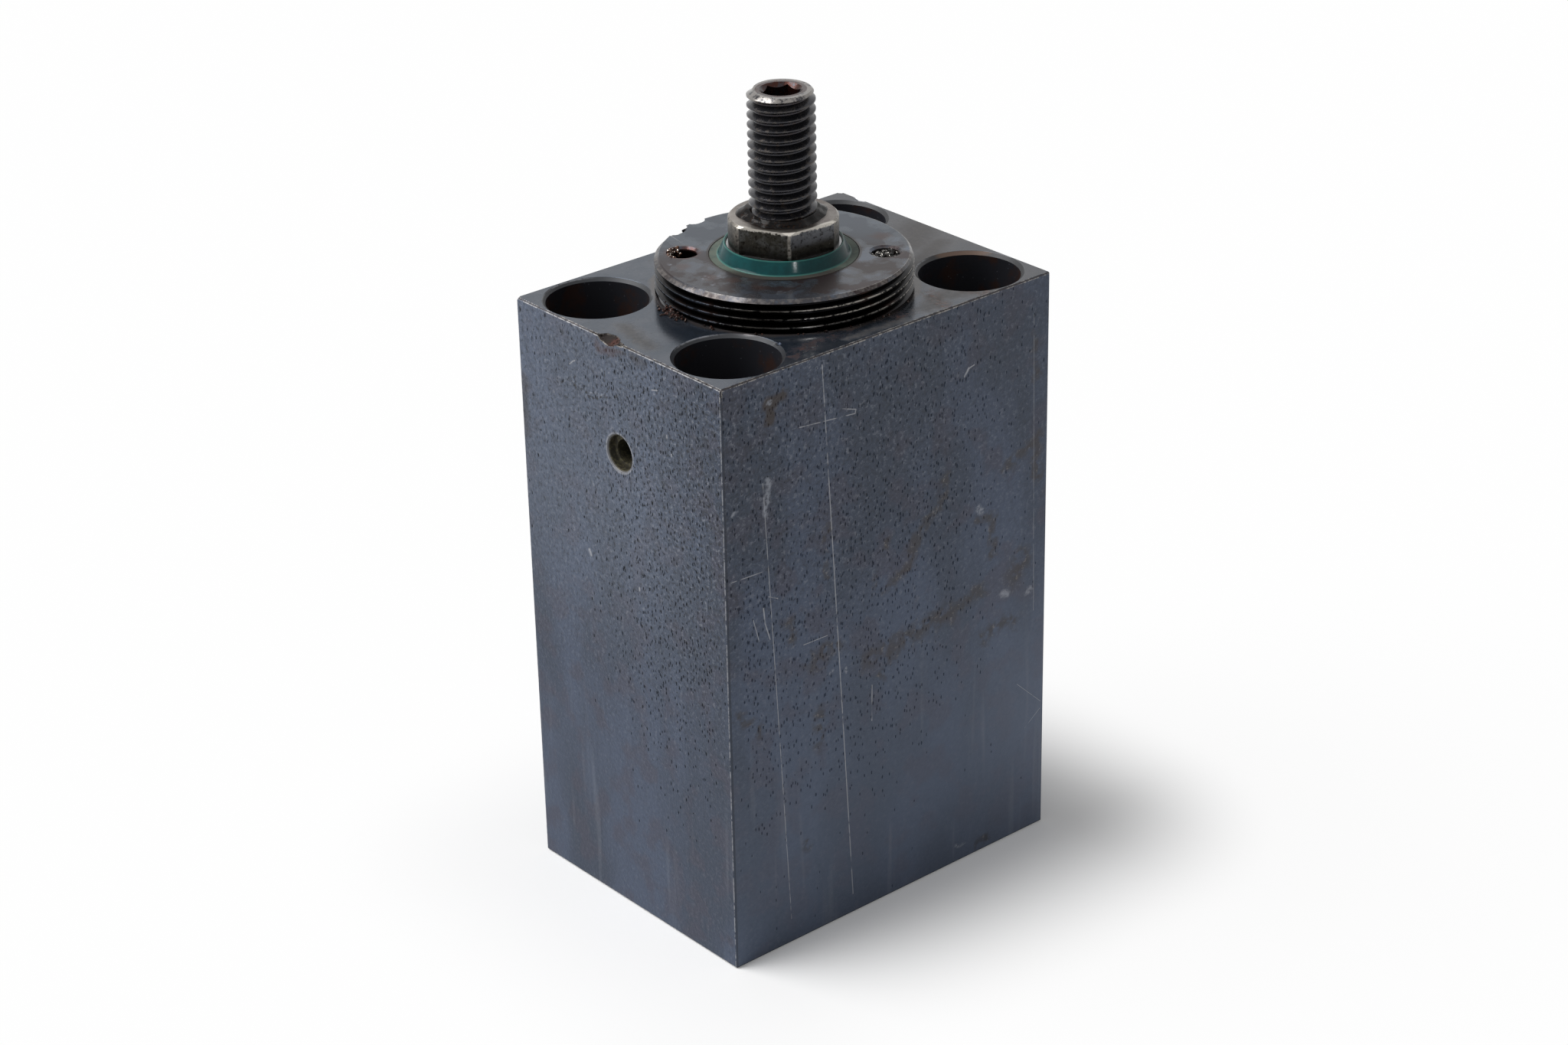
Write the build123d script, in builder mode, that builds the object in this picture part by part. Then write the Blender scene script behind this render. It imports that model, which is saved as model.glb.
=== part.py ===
from build123d import *
import os
from math import cos, radians, sin, sqrt

# Hydraulic block cylinder: a steel block with a piston bore, four counterbored mounting
# screw holes, a screwed-in guide gland with its seals, and a piston rod with a stud.
# Millimetres, +Z along the rod. The origin is the centre of the block's base.

os.makedirs("parts", exist_ok=True)

# Mounting screws: M10 cap heads sunk in the top face, close to the block's sides
screw_spacing_y = 35.0
screw_hole_diameter = 10.5
screw_head_diameter = 18.0
screw_head_depth = 11.0
screw_rim_break = 0.6
screw_rim_land = 0.1
gland_to_head_wall = 1.1

# Stroke and the lengths that stack up along the bore
stroke = 50.0
floor_thickness = 11.0
end_clearance = 0.5
piston_length = 24.0
nose_length = 8.0
socket_depth = 17.0
edge_break = 0.3
bore_lead = 0.8

# Oil ports: a recess for a face seal, then a drilling into the bore
port_face_width = 1.0
port_recess_depth = 1.3
port_rim_break = 0.35
port_drill_diameter = 4.3
rod_port_below_seat = 3.5
piston_port_above_floor = 3.2

# Piston rod, with the relieved end that the two spanner flats are milled on
rod_diameter = 20.0
rod_neck_relief = 0.4
rod_stand_out = 7.0
rod_neck_below_lip = 0.4
flat_depth = 1.1
flat_angles = (-155.0, -95.0)
rod_end_break = 0.4
spigot_diameter = 14.0
spigot_break = 0.8

# Stud: a socket-headed set screw turned into the rod end. Where its thread is engaged,
# both pieces are drawn at the pitch line, and where it is free, at the crests.
stud_diameter = 11.8
stud_crest_height = 0.47
stud_length = 40.0
stud_stand_out = 22.5
stud_end_break = 0.9
stud_hole_reserve = 2.5
drill_tip_height = 3.0
socket_across_flats = 6.0
socket_depth_in_stud = 6.5
socket_mouth_flare = 0.75

# Guide gland: an external thread above, a sealed land and a slim nose below
gland_thread_reach = 3.5
gland_stand_out = 6.0
gland_rim_break = 0.7
gland_seat_width = 3.0
land_clearance = 0.05
nose_gap = 1.5
nose_wall = 2.0
land_shoulder = 1.0
thread_end_gap = 0.4
rod_passage_clearance = 0.3

# Two holes for a pin spanner in the gland's face
spanner_hole_wall = 0.7
spanner_hole_diameter = 5.0
spanner_hole_depth = 5.0
spanner_hole_break = 0.4
spanner_hole_angle = 137.3

# Wiper
wiper_groove_depth = 4.3
wiper_groove_height = 5.3
wiper_collar_width = 3.1
wiper_mouth_land = 0.9
wiper_cone_width = 1.5
wiper_lip_height = 2.3
wiper_lip_thickness = 0.35
wiper_body_clearance = 0.6

# Rod seal with its filler ring and backup ring
seal_groove_depth = 4.0
rod_seal_height = 5.7
rod_seal_heel = 2.7
rod_seal_slot_width = 1.7
rod_backup_height = 1.3
seal_float = 0.2
bridge_below_wiper = 3.4
bridge_below_seal = 0.9

# Guide strips
rod_guide_thickness = 2.5
guide_width = 4.0
guide_end_wall = 1.2
piston_guide_thickness = 1.8
guide_side_clearance = 0.1

# Gland's outer seal, squeezed between the land and the block
gland_ring_groove_depth = 2.4
gland_ring_height = 2.9
gland_backup_height = 1.3

# Piston
piston_side_clearance = 0.3
piston_nose_wall = 1.4
piston_nose_height = 5.5
glide_groove_depth = 3.75
glide_ring_width = 4.2
glide_ring_thickness = 1.7
piston_edge_break = 0.6
spigot_ring_section = 1.8
spigot_ring_groove_width = 2.4
spigot_ring_below_top = 3.2

# Locking nut that holds the piston
nut_across_flats = 21.0
nut_hex_height = 4.8
nut_collar_height = 2.0
nut_collar_wall = 1.2
nut_side_clearance = 0.6
locking_ring_width = 1.6
locking_ring_height = 1.6

# Corner broken off the section of each squeezed ring
ring_corner = 0.6

# Running clearance between what slides or turns and what guides it
running_clearance = 0.05

# Radii that follow, from the rod outwards
rod_radius = rod_diameter / 2
rod_passage_radius = rod_radius + rod_passage_clearance
rod_guide_radius = rod_radius + rod_guide_thickness
seal_groove_radius = rod_radius + seal_groove_depth
wiper_groove_radius = rod_radius + wiper_groove_depth
wiper_collar_radius = rod_radius + wiper_collar_width
nose_radius = rod_guide_radius + nose_wall
bore_radius = nose_radius + nose_gap
land_radius = bore_radius + gland_seat_width
gland_ring_floor_radius = land_radius - gland_ring_groove_depth
gland_radius = land_radius + gland_thread_reach
spanner_circle_radius = wiper_groove_radius + spanner_hole_wall + spanner_hole_diameter / 2
spigot_radius = spigot_diameter / 2
stud_radius = stud_diameter / 2
engaged_radius = stud_radius - stud_crest_height
port_drill_radius = port_drill_diameter / 2
port_recess_radius = port_drill_radius + port_face_width

# The screws straddle the gland, and their heads come close to it and to the sides
screw_head_radius = screw_head_diameter / 2
screw_circle_radius = gland_radius + gland_to_head_wall + screw_head_radius
screw_spacing_x = round(2 * sqrt(screw_circle_radius**2 - (screw_spacing_y / 2) ** 2), 1)
edge_wall = screw_rim_break + screw_rim_land + edge_break
block_width = screw_spacing_x + screw_head_diameter + 2 * edge_wall
block_depth = screw_spacing_y + screw_head_diameter + 2 * edge_wall

# Heights that follow, from the base upwards
piston_bottom = floor_thickness + end_clearance
piston_top = piston_bottom + piston_length
nose_end = piston_top + stroke + end_clearance
gland_seat = nose_end + nose_length
block_height = gland_seat + socket_depth
gland_top = block_height + gland_stand_out

wiper_top = gland_top - wiper_mouth_land
wiper_bottom = wiper_top - wiper_groove_height
lip_top = gland_top + wiper_lip_height
seal_groove_top = wiper_bottom - bridge_below_wiper
rod_backup_bottom = seal_groove_top - rod_backup_height
rod_seal_bottom = rod_backup_bottom - rod_seal_height
seal_groove_bottom = rod_seal_bottom - seal_float
upper_guide_top = seal_groove_bottom - bridge_below_seal
lower_guide_bottom = nose_end + guide_end_wall
gland_groove_bottom = gland_seat + land_shoulder
gland_backup_bottom = gland_groove_bottom + gland_ring_height
gland_groove_top = gland_backup_bottom + gland_backup_height
thread_start = gland_groove_top + land_shoulder

rod_top = gland_top + rod_stand_out
neck_bottom = lip_top - rod_neck_below_lip
stud_top = rod_top + stud_stand_out
stud_bottom = stud_top - stud_length

rod_port_height = gland_seat - rod_port_below_seat
piston_port_height = floor_thickness + piston_port_above_floor
nut_height = nut_hex_height + nut_collar_height
nut_seat = piston_bottom + nut_height + running_clearance
skirt_bottom = piston_bottom + piston_nose_height
lower_strip_bottom = skirt_bottom + guide_end_wall
upper_strip_bottom = piston_top - guide_end_wall - guide_width
glide_ring_bottom = (lower_strip_bottom + guide_width + upper_strip_bottom - glide_ring_width) / 2


def band(inner_radius, outer_radius, bottom, top, mode=Mode.ADD):
    """A rectangle between two radii and two heights, for a section that is revolved."""
    with Locations(((inner_radius + outer_radius) / 2, (bottom + top) / 2)):
        Rectangle(outer_radius - inner_radius, top - bottom, mode=mode)


# Cylinder block, turned, bored and drilled from one bar
with BuildPart() as cylinder_block:
    with BuildSketch():
        Rectangle(block_width, block_depth)
    extrude(amount=block_height)
    chamfer(cylinder_block.edges(), edge_break)
    with BuildSketch(Plane.XZ):
        band(0, bore_radius, floor_thickness, gland_seat)
        Polygon(
            (0, gland_seat - bore_lead),
            (bore_radius, gland_seat - bore_lead),
            (bore_radius + bore_lead, gland_seat),
            (0, gland_seat),
            align=None,
        )
        band(0, land_radius + land_clearance, gland_seat, thread_start)
        band(0, gland_radius, thread_start - thread_end_gap, block_height)
    revolve(axis=Axis.Z, mode=Mode.SUBTRACT)
    with Locations(Plane.XY.offset(block_height)):
        with GridLocations(screw_spacing_x, screw_spacing_y, 2, 2):
            CounterBoreHole(screw_hole_diameter / 2, screw_head_radius, screw_head_depth)
    chamfer(
        cylinder_block.faces().sort_by(Axis.Z)[-1].inner_wires().edges()
        .filter_by(lambda edge: abs(edge.radius - screw_head_radius) < 0.01),
        screw_rim_break,
    )
    for side, port_height in ((-1, rod_port_height), (1, piston_port_height)):
        mouth = Plane(origin=(side * block_width / 2, 0, port_height), z_dir=(side, 0, 0))
        with Locations(mouth):
            CounterBoreHole(
                port_drill_radius,
                port_recess_radius,
                port_recess_depth,
                depth=block_width / 2 - nose_radius,
            )
        chamfer(
            cylinder_block.edges().filter_by(GeomType.CIRCLE)
            .filter_by(lambda edge: abs(edge.radius - port_recess_radius) < 0.01)
            .sort_by(Axis.X)[0 if side < 0 else -1],
            port_rim_break,
        )
cylinder_block.part.label = "cylinder_block"
export_step(cylinder_block.part, "parts/cylinder_block.step")

# Guide gland: threaded head, sealed land, slim nose, and the grooves that hold the seals
with BuildPart() as gland:
    with BuildSketch(Plane.XZ):
        band(rod_passage_radius, nose_radius, nose_end, gland_seat)
        band(rod_passage_radius, land_radius, gland_seat, thread_start)
        band(rod_passage_radius, gland_radius, thread_start, gland_top)
        band(rod_passage_radius, wiper_collar_radius, wiper_top, gland_top, Mode.SUBTRACT)
        band(rod_passage_radius, wiper_groove_radius, wiper_bottom, wiper_top, Mode.SUBTRACT)
        band(rod_passage_radius, seal_groove_radius, seal_groove_bottom, seal_groove_top, Mode.SUBTRACT)
        for guide_bottom in (upper_guide_top - guide_width, lower_guide_bottom):
            band(
                rod_passage_radius, rod_guide_radius,
                guide_bottom, guide_bottom + guide_width, Mode.SUBTRACT,
            )
        band(
            gland_ring_floor_radius, land_radius,
            gland_groove_bottom, gland_groove_top, Mode.SUBTRACT,
        )
    revolve(axis=Axis.Z)
    rims = gland.edges().filter_by(GeomType.CIRCLE)
    chamfer(rims.filter_by(lambda edge: abs(edge.radius - gland_radius) < 0.01), gland_rim_break)
    with Locations(Plane.XY.offset(gland_top)):
        with PolarLocations(spanner_circle_radius, 2, spanner_hole_angle):
            Hole(spanner_hole_diameter / 2, spanner_hole_depth)
    chamfer(
        gland.faces().sort_by(Axis.Z)[-1].edges().filter_by(GeomType.CIRCLE)
        .filter_by(lambda edge: abs(edge.radius - spanner_hole_diameter / 2) < 0.01),
        spanner_hole_break,
    )
gland.part.label = "gland"
export_step(gland.part, "parts/gland.step")

# Wiper: a heel held in the gland's groove, a flat collar and a steep cone with a thin lip
wiper_inner_radius = rod_radius + wiper_body_clearance
lip_radius = rod_radius + running_clearance
with BuildPart() as rod_wiper:
    with BuildSketch(Plane.XZ):
        Polygon(
            (wiper_inner_radius, wiper_bottom),
            (wiper_groove_radius, wiper_bottom),
            (wiper_groove_radius, wiper_top),
            (wiper_collar_radius, wiper_top),
            (wiper_collar_radius, gland_top),
            (rod_radius + wiper_cone_width, gland_top),
            (lip_radius + wiper_lip_thickness, lip_top),
            (lip_radius, lip_top - rod_neck_below_lip / 2),
            (lip_radius, lip_top - wiper_lip_height / 2),
            (wiper_inner_radius, gland_top - wiper_lip_height / 2),
            align=None,
        )
    revolve(axis=Axis.Z)
rod_wiper.part.label = "rod_wiper"
export_step(rod_wiper.part, "parts/rod_wiper.step")

# Rod seal: a U-section lip seal whose slot faces the oil
slot_middle = (rod_radius + seal_groove_radius) / 2
slot_top = rod_backup_bottom - rod_seal_heel
with BuildPart() as rod_seal:
    with BuildSketch(Plane.XZ):
        Polygon(
            (lip_radius, rod_backup_bottom),
            (lip_radius, rod_seal_bottom),
            (slot_middle - rod_seal_slot_width / 2, rod_seal_bottom),
            (slot_middle - rod_seal_slot_width / 2, slot_top),
            (slot_middle + rod_seal_slot_width / 2, slot_top),
            (slot_middle + rod_seal_slot_width / 2, rod_seal_bottom),
            (seal_groove_radius, rod_seal_bottom),
            (seal_groove_radius, rod_backup_bottom),
            align=None,
        )
    revolve(axis=Axis.Z)
rod_seal.part.label = "rod_seal"
export_step(rod_seal.part, "parts/rod_seal.step")

# Filler ring that presses the rod seal's two lips apart
with BuildPart() as rod_seal_filler_ring:
    with BuildSketch(Plane.XZ):
        with Locations((slot_middle, slot_top - rod_seal_slot_width / 2)):
            Circle(rod_seal_slot_width / 2)
    revolve(axis=Axis.Z)
rod_seal_filler_ring.part.label = "rod_seal_filler_ring"
export_step(rod_seal_filler_ring.part, "parts/rod_seal_filler_ring.step")

# Backup ring behind the rod seal
with BuildPart() as rod_seal_backup_ring:
    with BuildSketch(Plane.XZ):
        band(lip_radius, seal_groove_radius, rod_backup_bottom, seal_groove_top)
    revolve(axis=Axis.Z)
rod_seal_backup_ring.part.label = "rod_seal_backup_ring"
export_step(rod_seal_backup_ring.part, "parts/rod_seal_backup_ring.step")

# Two guide strips that carry the rod inside the gland
with BuildPart() as upper_rod_guide:
    with BuildSketch(Plane.XZ):
        band(lip_radius, rod_guide_radius, upper_guide_top - guide_width, upper_guide_top)
    revolve(axis=Axis.Z)
upper_rod_guide.part.label = "upper_rod_guide"
export_step(upper_rod_guide.part, "parts/upper_rod_guide.step")

with BuildPart() as lower_rod_guide:
    with BuildSketch(Plane.XZ):
        band(lip_radius, rod_guide_radius, lower_guide_bottom, lower_guide_bottom + guide_width)
    revolve(axis=Axis.Z)
lower_rod_guide.part.label = "lower_rod_guide"
export_step(lower_rod_guide.part, "parts/lower_rod_guide.step")

# Gland's seal ring, a square-section ring with broken corners, drawn squeezed to the room
# between the land's groove and the block
squeezed_width = gland_ring_groove_depth + land_clearance
with BuildPart() as gland_seal_ring:
    with BuildSketch(Plane.XZ):
        ring_middle = (
            gland_ring_floor_radius + squeezed_width / 2,
            gland_groove_bottom + gland_ring_height / 2,
        )
        with Locations(ring_middle):
            Rectangle(squeezed_width, gland_ring_height)
        chamfer(vertices(), ring_corner)
    revolve(axis=Axis.Z)
gland_seal_ring.part.label = "gland_seal_ring"
export_step(gland_seal_ring.part, "parts/gland_seal_ring.step")

# Backup ring above the gland's seal ring
with BuildPart() as gland_backup_ring:
    with BuildSketch(Plane.XZ):
        band(gland_ring_floor_radius, land_radius, gland_backup_bottom, gland_groove_top)
    revolve(axis=Axis.Z)
gland_backup_ring.part.label = "gland_backup_ring"
export_step(gland_backup_ring.part, "parts/gland_backup_ring.step")

# Piston rod: ground shaft, spigot for the piston, relieved end with two flats, tapped hole
neck_radius = rod_radius - rod_neck_relief
flat_distance = neck_radius - flat_depth
with BuildPart() as piston_rod:
    with BuildSketch(Plane.XZ):
        band(0, spigot_radius, piston_bottom + end_clearance, piston_top)
        band(0, rod_radius, piston_top, neck_bottom)
        band(0, neck_radius, neck_bottom, rod_top)
    revolve(axis=Axis.Z)
    rims = piston_rod.edges().filter_by(GeomType.CIRCLE).sort_by(Axis.Z)
    chamfer(rims[-1], rod_end_break)
    chamfer(rims[0], spigot_break)
    for angle in flat_angles:
        outward = (cos(radians(angle)), sin(radians(angle)), 0)
        middle_height = (neck_bottom + rod_top) / 2
        flat_centre = (outward[0] * flat_distance, outward[1] * flat_distance, middle_height)
        with BuildSketch(Plane(origin=flat_centre, x_dir=(0, 0, 1), z_dir=outward)):
            Rectangle(rod_top - neck_bottom, rod_diameter)
        extrude(amount=rod_radius, mode=Mode.SUBTRACT)
    with BuildSketch(Plane.XZ):
        Polygon(
            (0, rod_top),
            (engaged_radius, rod_top),
            (engaged_radius, stud_bottom - stud_hole_reserve),
            (0, stud_bottom - stud_hole_reserve - drill_tip_height),
            align=None,
        )
    revolve(axis=Axis.Z, mode=Mode.SUBTRACT)
piston_rod.part.label = "piston_rod"
export_step(piston_rod.part, "parts/piston_rod.step")

# Threaded stud with a hexagon socket in its outer end
with BuildPart() as threaded_stud:
    with BuildSketch(Plane.XZ):
        band(0, engaged_radius, stud_bottom, rod_top)
        band(0, stud_radius, rod_top, stud_top)
    revolve(axis=Axis.Z)
    rims = threaded_stud.edges().filter_by(GeomType.CIRCLE).sort_by(Axis.Z)
    chamfer([rims[0], rims[-1]], stud_end_break)
    with BuildSketch(Plane.XY.offset(stud_top)):
        RegularPolygon(socket_across_flats / 2, 6, major_radius=False)
    extrude(amount=-socket_depth_in_stud, mode=Mode.SUBTRACT)
    with BuildSketch(Plane.XZ):
        Polygon(
            (0, stud_top),
            (socket_across_flats / 2 + socket_mouth_flare, stud_top),
            (socket_across_flats / 2, stud_top - socket_mouth_flare),
            (0, stud_top - socket_mouth_flare),
            align=None,
        )
    revolve(axis=Axis.Z, mode=Mode.SUBTRACT)
threaded_stud.part.label = "threaded_stud"
export_step(threaded_stud.part, "parts/threaded_stud.step")

# Piston: grooves for two guide strips and the glide ring, a slim nose and the nut's recess
piston_radius = bore_radius - piston_side_clearance
ring_outer_radius = bore_radius - running_clearance
strip_inner_radius = ring_outer_radius - piston_guide_thickness
glide_groove_radius = bore_radius - glide_groove_depth
nut_recess_radius = nut_across_flats / sqrt(3) + nut_side_clearance
spigot_ring_top = piston_top - spigot_ring_below_top
spigot_groove_radius = spigot_radius + spigot_ring_section
with BuildPart() as piston:
    with BuildSketch(Plane.XZ):
        band(spigot_radius, nut_recess_radius + piston_nose_wall, piston_bottom, skirt_bottom)
        band(spigot_radius, piston_radius, skirt_bottom, piston_top)
        band(spigot_radius, nut_recess_radius, piston_bottom, nut_seat, Mode.SUBTRACT)
        for strip_bottom in (lower_strip_bottom, upper_strip_bottom):
            band(
                strip_inner_radius - running_clearance, piston_radius,
                strip_bottom, strip_bottom + guide_width, Mode.SUBTRACT,
            )
        band(
            glide_groove_radius, piston_radius,
            glide_ring_bottom, glide_ring_bottom + glide_ring_width, Mode.SUBTRACT,
        )
        band(
            spigot_radius, spigot_groove_radius,
            spigot_ring_top - spigot_ring_groove_width, spigot_ring_top, Mode.SUBTRACT,
        )
    revolve(axis=Axis.Z)
    outer_rims = piston.edges().filter_by(GeomType.CIRCLE).sort_by(Axis.Z)
    chamfer(outer_rims.group_by(Axis.Z)[-1].sort_by(SortBy.RADIUS)[-1], piston_edge_break)
piston.part.label = "piston"
export_step(piston.part, "parts/piston.step")

# Ring that seals the piston to the rod's spigot
with BuildPart() as spigot_seal_ring:
    with BuildSketch(Plane.XZ):
        ring_middle = (
            spigot_radius + spigot_ring_section / 2,
            spigot_ring_top - spigot_ring_groove_width / 2,
        )
        with Locations(ring_middle):
            Circle(spigot_ring_section / 2)
    revolve(axis=Axis.Z)
spigot_seal_ring.part.label = "spigot_seal_ring"
export_step(spigot_seal_ring.part, "parts/spigot_seal_ring.step")

# Piston nut: a low hexagon nut with a round collar that holds a locking ring
locking_ring_radius = spigot_radius + locking_ring_width
with BuildPart() as piston_nut:
    with BuildSketch(Plane.XY.offset(nut_seat)):
        RegularPolygon(nut_across_flats / 2, 6, major_radius=False)
    extrude(amount=-nut_hex_height)
    with BuildSketch(Plane.XY.offset(nut_seat - nut_hex_height)):
        Circle(locking_ring_radius + nut_collar_wall)
    extrude(amount=-nut_collar_height)
    with BuildSketch(Plane.XY.offset(nut_seat)):
        Circle(spigot_radius)
    extrude(amount=-nut_height, mode=Mode.SUBTRACT)
    with BuildSketch(Plane.XY.offset(nut_seat - nut_hex_height)):
        Circle(locking_ring_radius)
    extrude(amount=-locking_ring_height, mode=Mode.SUBTRACT)
piston_nut.part.label = "piston_nut"
export_step(piston_nut.part, "parts/piston_nut.step")

# Plastic ring that keeps the nut from working loose
with BuildPart() as nut_locking_ring:
    with BuildSketch(Plane.XZ):
        band(
            spigot_radius, locking_ring_radius,
            nut_seat - nut_hex_height - locking_ring_height, nut_seat - nut_hex_height,
        )
    revolve(axis=Axis.Z)
nut_locking_ring.part.label = "nut_locking_ring"
export_step(nut_locking_ring.part, "parts/nut_locking_ring.step")

# Piston rings: two guide strips, and a glide ring pressed out by a soft ring beneath it.
# They travel with the piston, and the piston may turn inside them.
with BuildPart() as upper_piston_guide:
    with BuildSketch(Plane.XZ):
        band(
            strip_inner_radius, ring_outer_radius,
            upper_strip_bottom + guide_side_clearance,
            upper_strip_bottom + guide_width - guide_side_clearance,
        )
    revolve(axis=Axis.Z)
upper_piston_guide.part.label = "upper_piston_guide"
export_step(upper_piston_guide.part, "parts/upper_piston_guide.step")

with BuildPart() as lower_piston_guide:
    with BuildSketch(Plane.XZ):
        band(
            strip_inner_radius, ring_outer_radius,
            lower_strip_bottom + guide_side_clearance,
            lower_strip_bottom + guide_width - guide_side_clearance,
        )
    revolve(axis=Axis.Z)
lower_piston_guide.part.label = "lower_piston_guide"
export_step(lower_piston_guide.part, "parts/lower_piston_guide.step")

glide_ring_inner_radius = ring_outer_radius - glide_ring_thickness
with BuildPart() as piston_glide_ring:
    with BuildSketch(Plane.XZ):
        band(
            glide_ring_inner_radius, ring_outer_radius,
            glide_ring_bottom + guide_side_clearance,
            glide_ring_bottom + glide_ring_width - guide_side_clearance,
        )
    revolve(axis=Axis.Z)
piston_glide_ring.part.label = "piston_glide_ring"
export_step(piston_glide_ring.part, "parts/piston_glide_ring.step")

pressing_ring_inner_radius = glide_groove_radius + running_clearance
pressing_ring_width = glide_ring_inner_radius - pressing_ring_inner_radius
with BuildPart() as glide_pressing_ring:
    with BuildSketch(Plane.XZ):
        ring_middle = (
            pressing_ring_inner_radius + pressing_ring_width / 2,
            glide_ring_bottom + glide_ring_width / 2,
        )
        with Locations(ring_middle):
            Rectangle(pressing_ring_width, glide_ring_width - 2 * guide_side_clearance)
        chamfer(vertices(), ring_corner)
    revolve(axis=Axis.Z)
glide_pressing_ring.part.label = "glide_pressing_ring"
export_step(glide_pressing_ring.part, "parts/glide_pressing_ring.step")
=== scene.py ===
import math
import random

import bpy
from mathutils import Matrix, Vector


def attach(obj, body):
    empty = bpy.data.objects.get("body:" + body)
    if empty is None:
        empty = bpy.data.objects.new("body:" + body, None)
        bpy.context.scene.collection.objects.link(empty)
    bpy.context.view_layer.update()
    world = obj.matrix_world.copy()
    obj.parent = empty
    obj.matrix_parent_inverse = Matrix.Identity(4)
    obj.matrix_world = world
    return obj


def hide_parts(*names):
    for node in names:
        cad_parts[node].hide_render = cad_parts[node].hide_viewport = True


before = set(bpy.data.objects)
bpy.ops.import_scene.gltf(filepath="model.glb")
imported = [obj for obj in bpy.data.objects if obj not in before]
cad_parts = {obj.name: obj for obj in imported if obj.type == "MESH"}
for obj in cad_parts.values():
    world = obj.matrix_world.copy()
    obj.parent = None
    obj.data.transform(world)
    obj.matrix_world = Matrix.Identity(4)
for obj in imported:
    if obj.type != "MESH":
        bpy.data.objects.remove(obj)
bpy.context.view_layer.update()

# Hydraulic block cylinder, dressed over its CAD frame. Metres, +Z along the rod, the
# origin at the centre of the block's base. The sections follow it as it is put together.
mm = 0.001

# Camera, at the photograph's own view: a long lens a little above the gland, turned
# towards the block's front vertical edge. Its place was fitted to the block's corners.
camera_place = (-360.65 * mm, -423.45 * mm, 335.75 * mm)
camera_azimuth = math.radians(-40.323)
camera_elevation = math.radians(25.952)
camera_roll = math.radians(-1.174)
bpy.ops.object.camera_add()
camera = bpy.context.object
camera.matrix_world = (
    Matrix.Translation(camera_place)
    @ Matrix.Rotation(camera_azimuth, 4, "Z")
    @ Matrix.Rotation(math.pi / 2 - camera_elevation, 4, "X")
    @ Matrix.Rotation(camera_roll, 4, "Z")
)
camera.data.sensor_width = 36.0
camera.data.lens = 79.28
bpy.context.scene.camera = camera


# Cylinder block: one bar of free-cutting steel, milled, bored and drilled, then blued in
# hot salts. Handling has chipped its top edge, rubbed its corners bright and scratched it,
# and oil and rust have darkened the top face and the holes.
block_half_width = 37.5
block_half_depth = 27.5
block_height = 111.0
bore_radius = 16.0
bore_floor = 11.0
gland_seat = 94.0
screw_places = [(x, y) for x in (-27.5, 27.5) for y in (-17.5, 17.5)]
port_heights = (90.5, 14.2)
weld = 0.002 * mm


def alone(piece):
    """Makes a piece the active one and the only one that is selected."""
    bpy.ops.object.select_all(action="DESELECT")
    bpy.context.view_layer.objects.active = piece
    piece.select_set(True)


def pick(piece, kind="VERT", wanted=None):
    """Opens a piece in edit mode with all of it selected, or only the wanted points or edges."""
    alone(piece)
    bpy.ops.object.mode_set(mode="EDIT")
    bpy.ops.mesh.select_mode(type=kind)
    bpy.ops.mesh.select_all(action="DESELECT" if wanted else "SELECT")
    if wanted:
        bpy.ops.object.mode_set(mode="OBJECT")
        for part in piece.data.vertices if kind == "VERT" else piece.data.edges:
            part.select = wanted(part)
        bpy.ops.object.mode_set(mode="EDIT")


def merged_copy(node, name):
    """A copy of a CAD node's mesh with its loose triangles joined, to be cut and worn."""
    piece = bpy.data.objects.new(name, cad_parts[node].data.copy())
    bpy.context.scene.collection.objects.link(piece)
    piece.data.materials.clear()
    alone(piece)
    bpy.ops.mesh.customdata_custom_splitnormals_clear()
    pick(piece)
    bpy.ops.mesh.remove_doubles(threshold=weld)
    bpy.ops.object.mode_set(mode="OBJECT")
    return piece


def cut_away(piece, tool):
    """Takes a tool's shape out of a piece, and removes the tool."""
    alone(piece)
    cut = piece.modifiers.new("cut", "BOOLEAN")
    cut.object = tool
    cut.operation = "DIFFERENCE"
    cut.solver = "EXACT"
    bpy.ops.object.modifier_apply(modifier=cut.name)
    bpy.data.objects.remove(tool)


def bruise(centre, size, turn, seed):
    """A jagged lump, the shape that a knock leaves when it is cut out of an edge."""
    bpy.ops.mesh.primitive_ico_sphere_add(subdivisions=3, radius=mm)
    lump = bpy.context.object
    pick(lump)
    bpy.ops.transform.resize(value=size)
    bpy.ops.transform.vertex_random(offset=0.12 * min(size) * mm, uniform=1.0, seed=seed)
    bpy.ops.object.mode_set(mode="OBJECT")
    lump.rotation_euler = [math.radians(a) for a in turn]
    lump.location = [c * mm for c in centre]
    bpy.ops.object.transform_apply()
    return lump


def smooth(piece, angle=30):
    """Shades a piece smooth, apart from its edges."""
    alone(piece)
    bpy.ops.object.shade_smooth_by_angle(angle=math.radians(angle))


# The first two knocks make the chip over the port, and the others are on corners, on the
# rim of a screw hole and on the thin wall beside one
knocks = [
    ((-37.9, 2.2, 111.4), (2.3, 3.1, 1.7), 8, 3), ((-38.2, -0.9, 111.4), (1.6, 2.2, 1.1), -14, 5),
    ((-18.3, -19.2, 111.2), (0.9, 0.8, 0.5), 20, 8), ((-37.6, 27.6, 111.2), (0.8, 0.8, 0.9), 0, 2),
    ((37.9, 27.9, 111.4), (1.7, 1.5, 1.3), 45, 12), ((37.9, 21.9, 111.3), (1.5, 2.0, 0.95), 4, 15),
    ((37.9, -27.9, 111.3), (0.9, 0.9, 0.9), 0, 17), ((37.9, -27.9, -0.2), (1.0, 1.0, 1.0), 0, 21),
    ((-37.9, -27.9, -0.2), (0.7, 0.7, 0.7), 0, 23),
]
block = merged_copy("cylinder_block", "block_with_knocks")
for centre, size, turn, seed in knocks:
    cut_away(block, bruise(centre, size, (0, 0, turn), seed))
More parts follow.
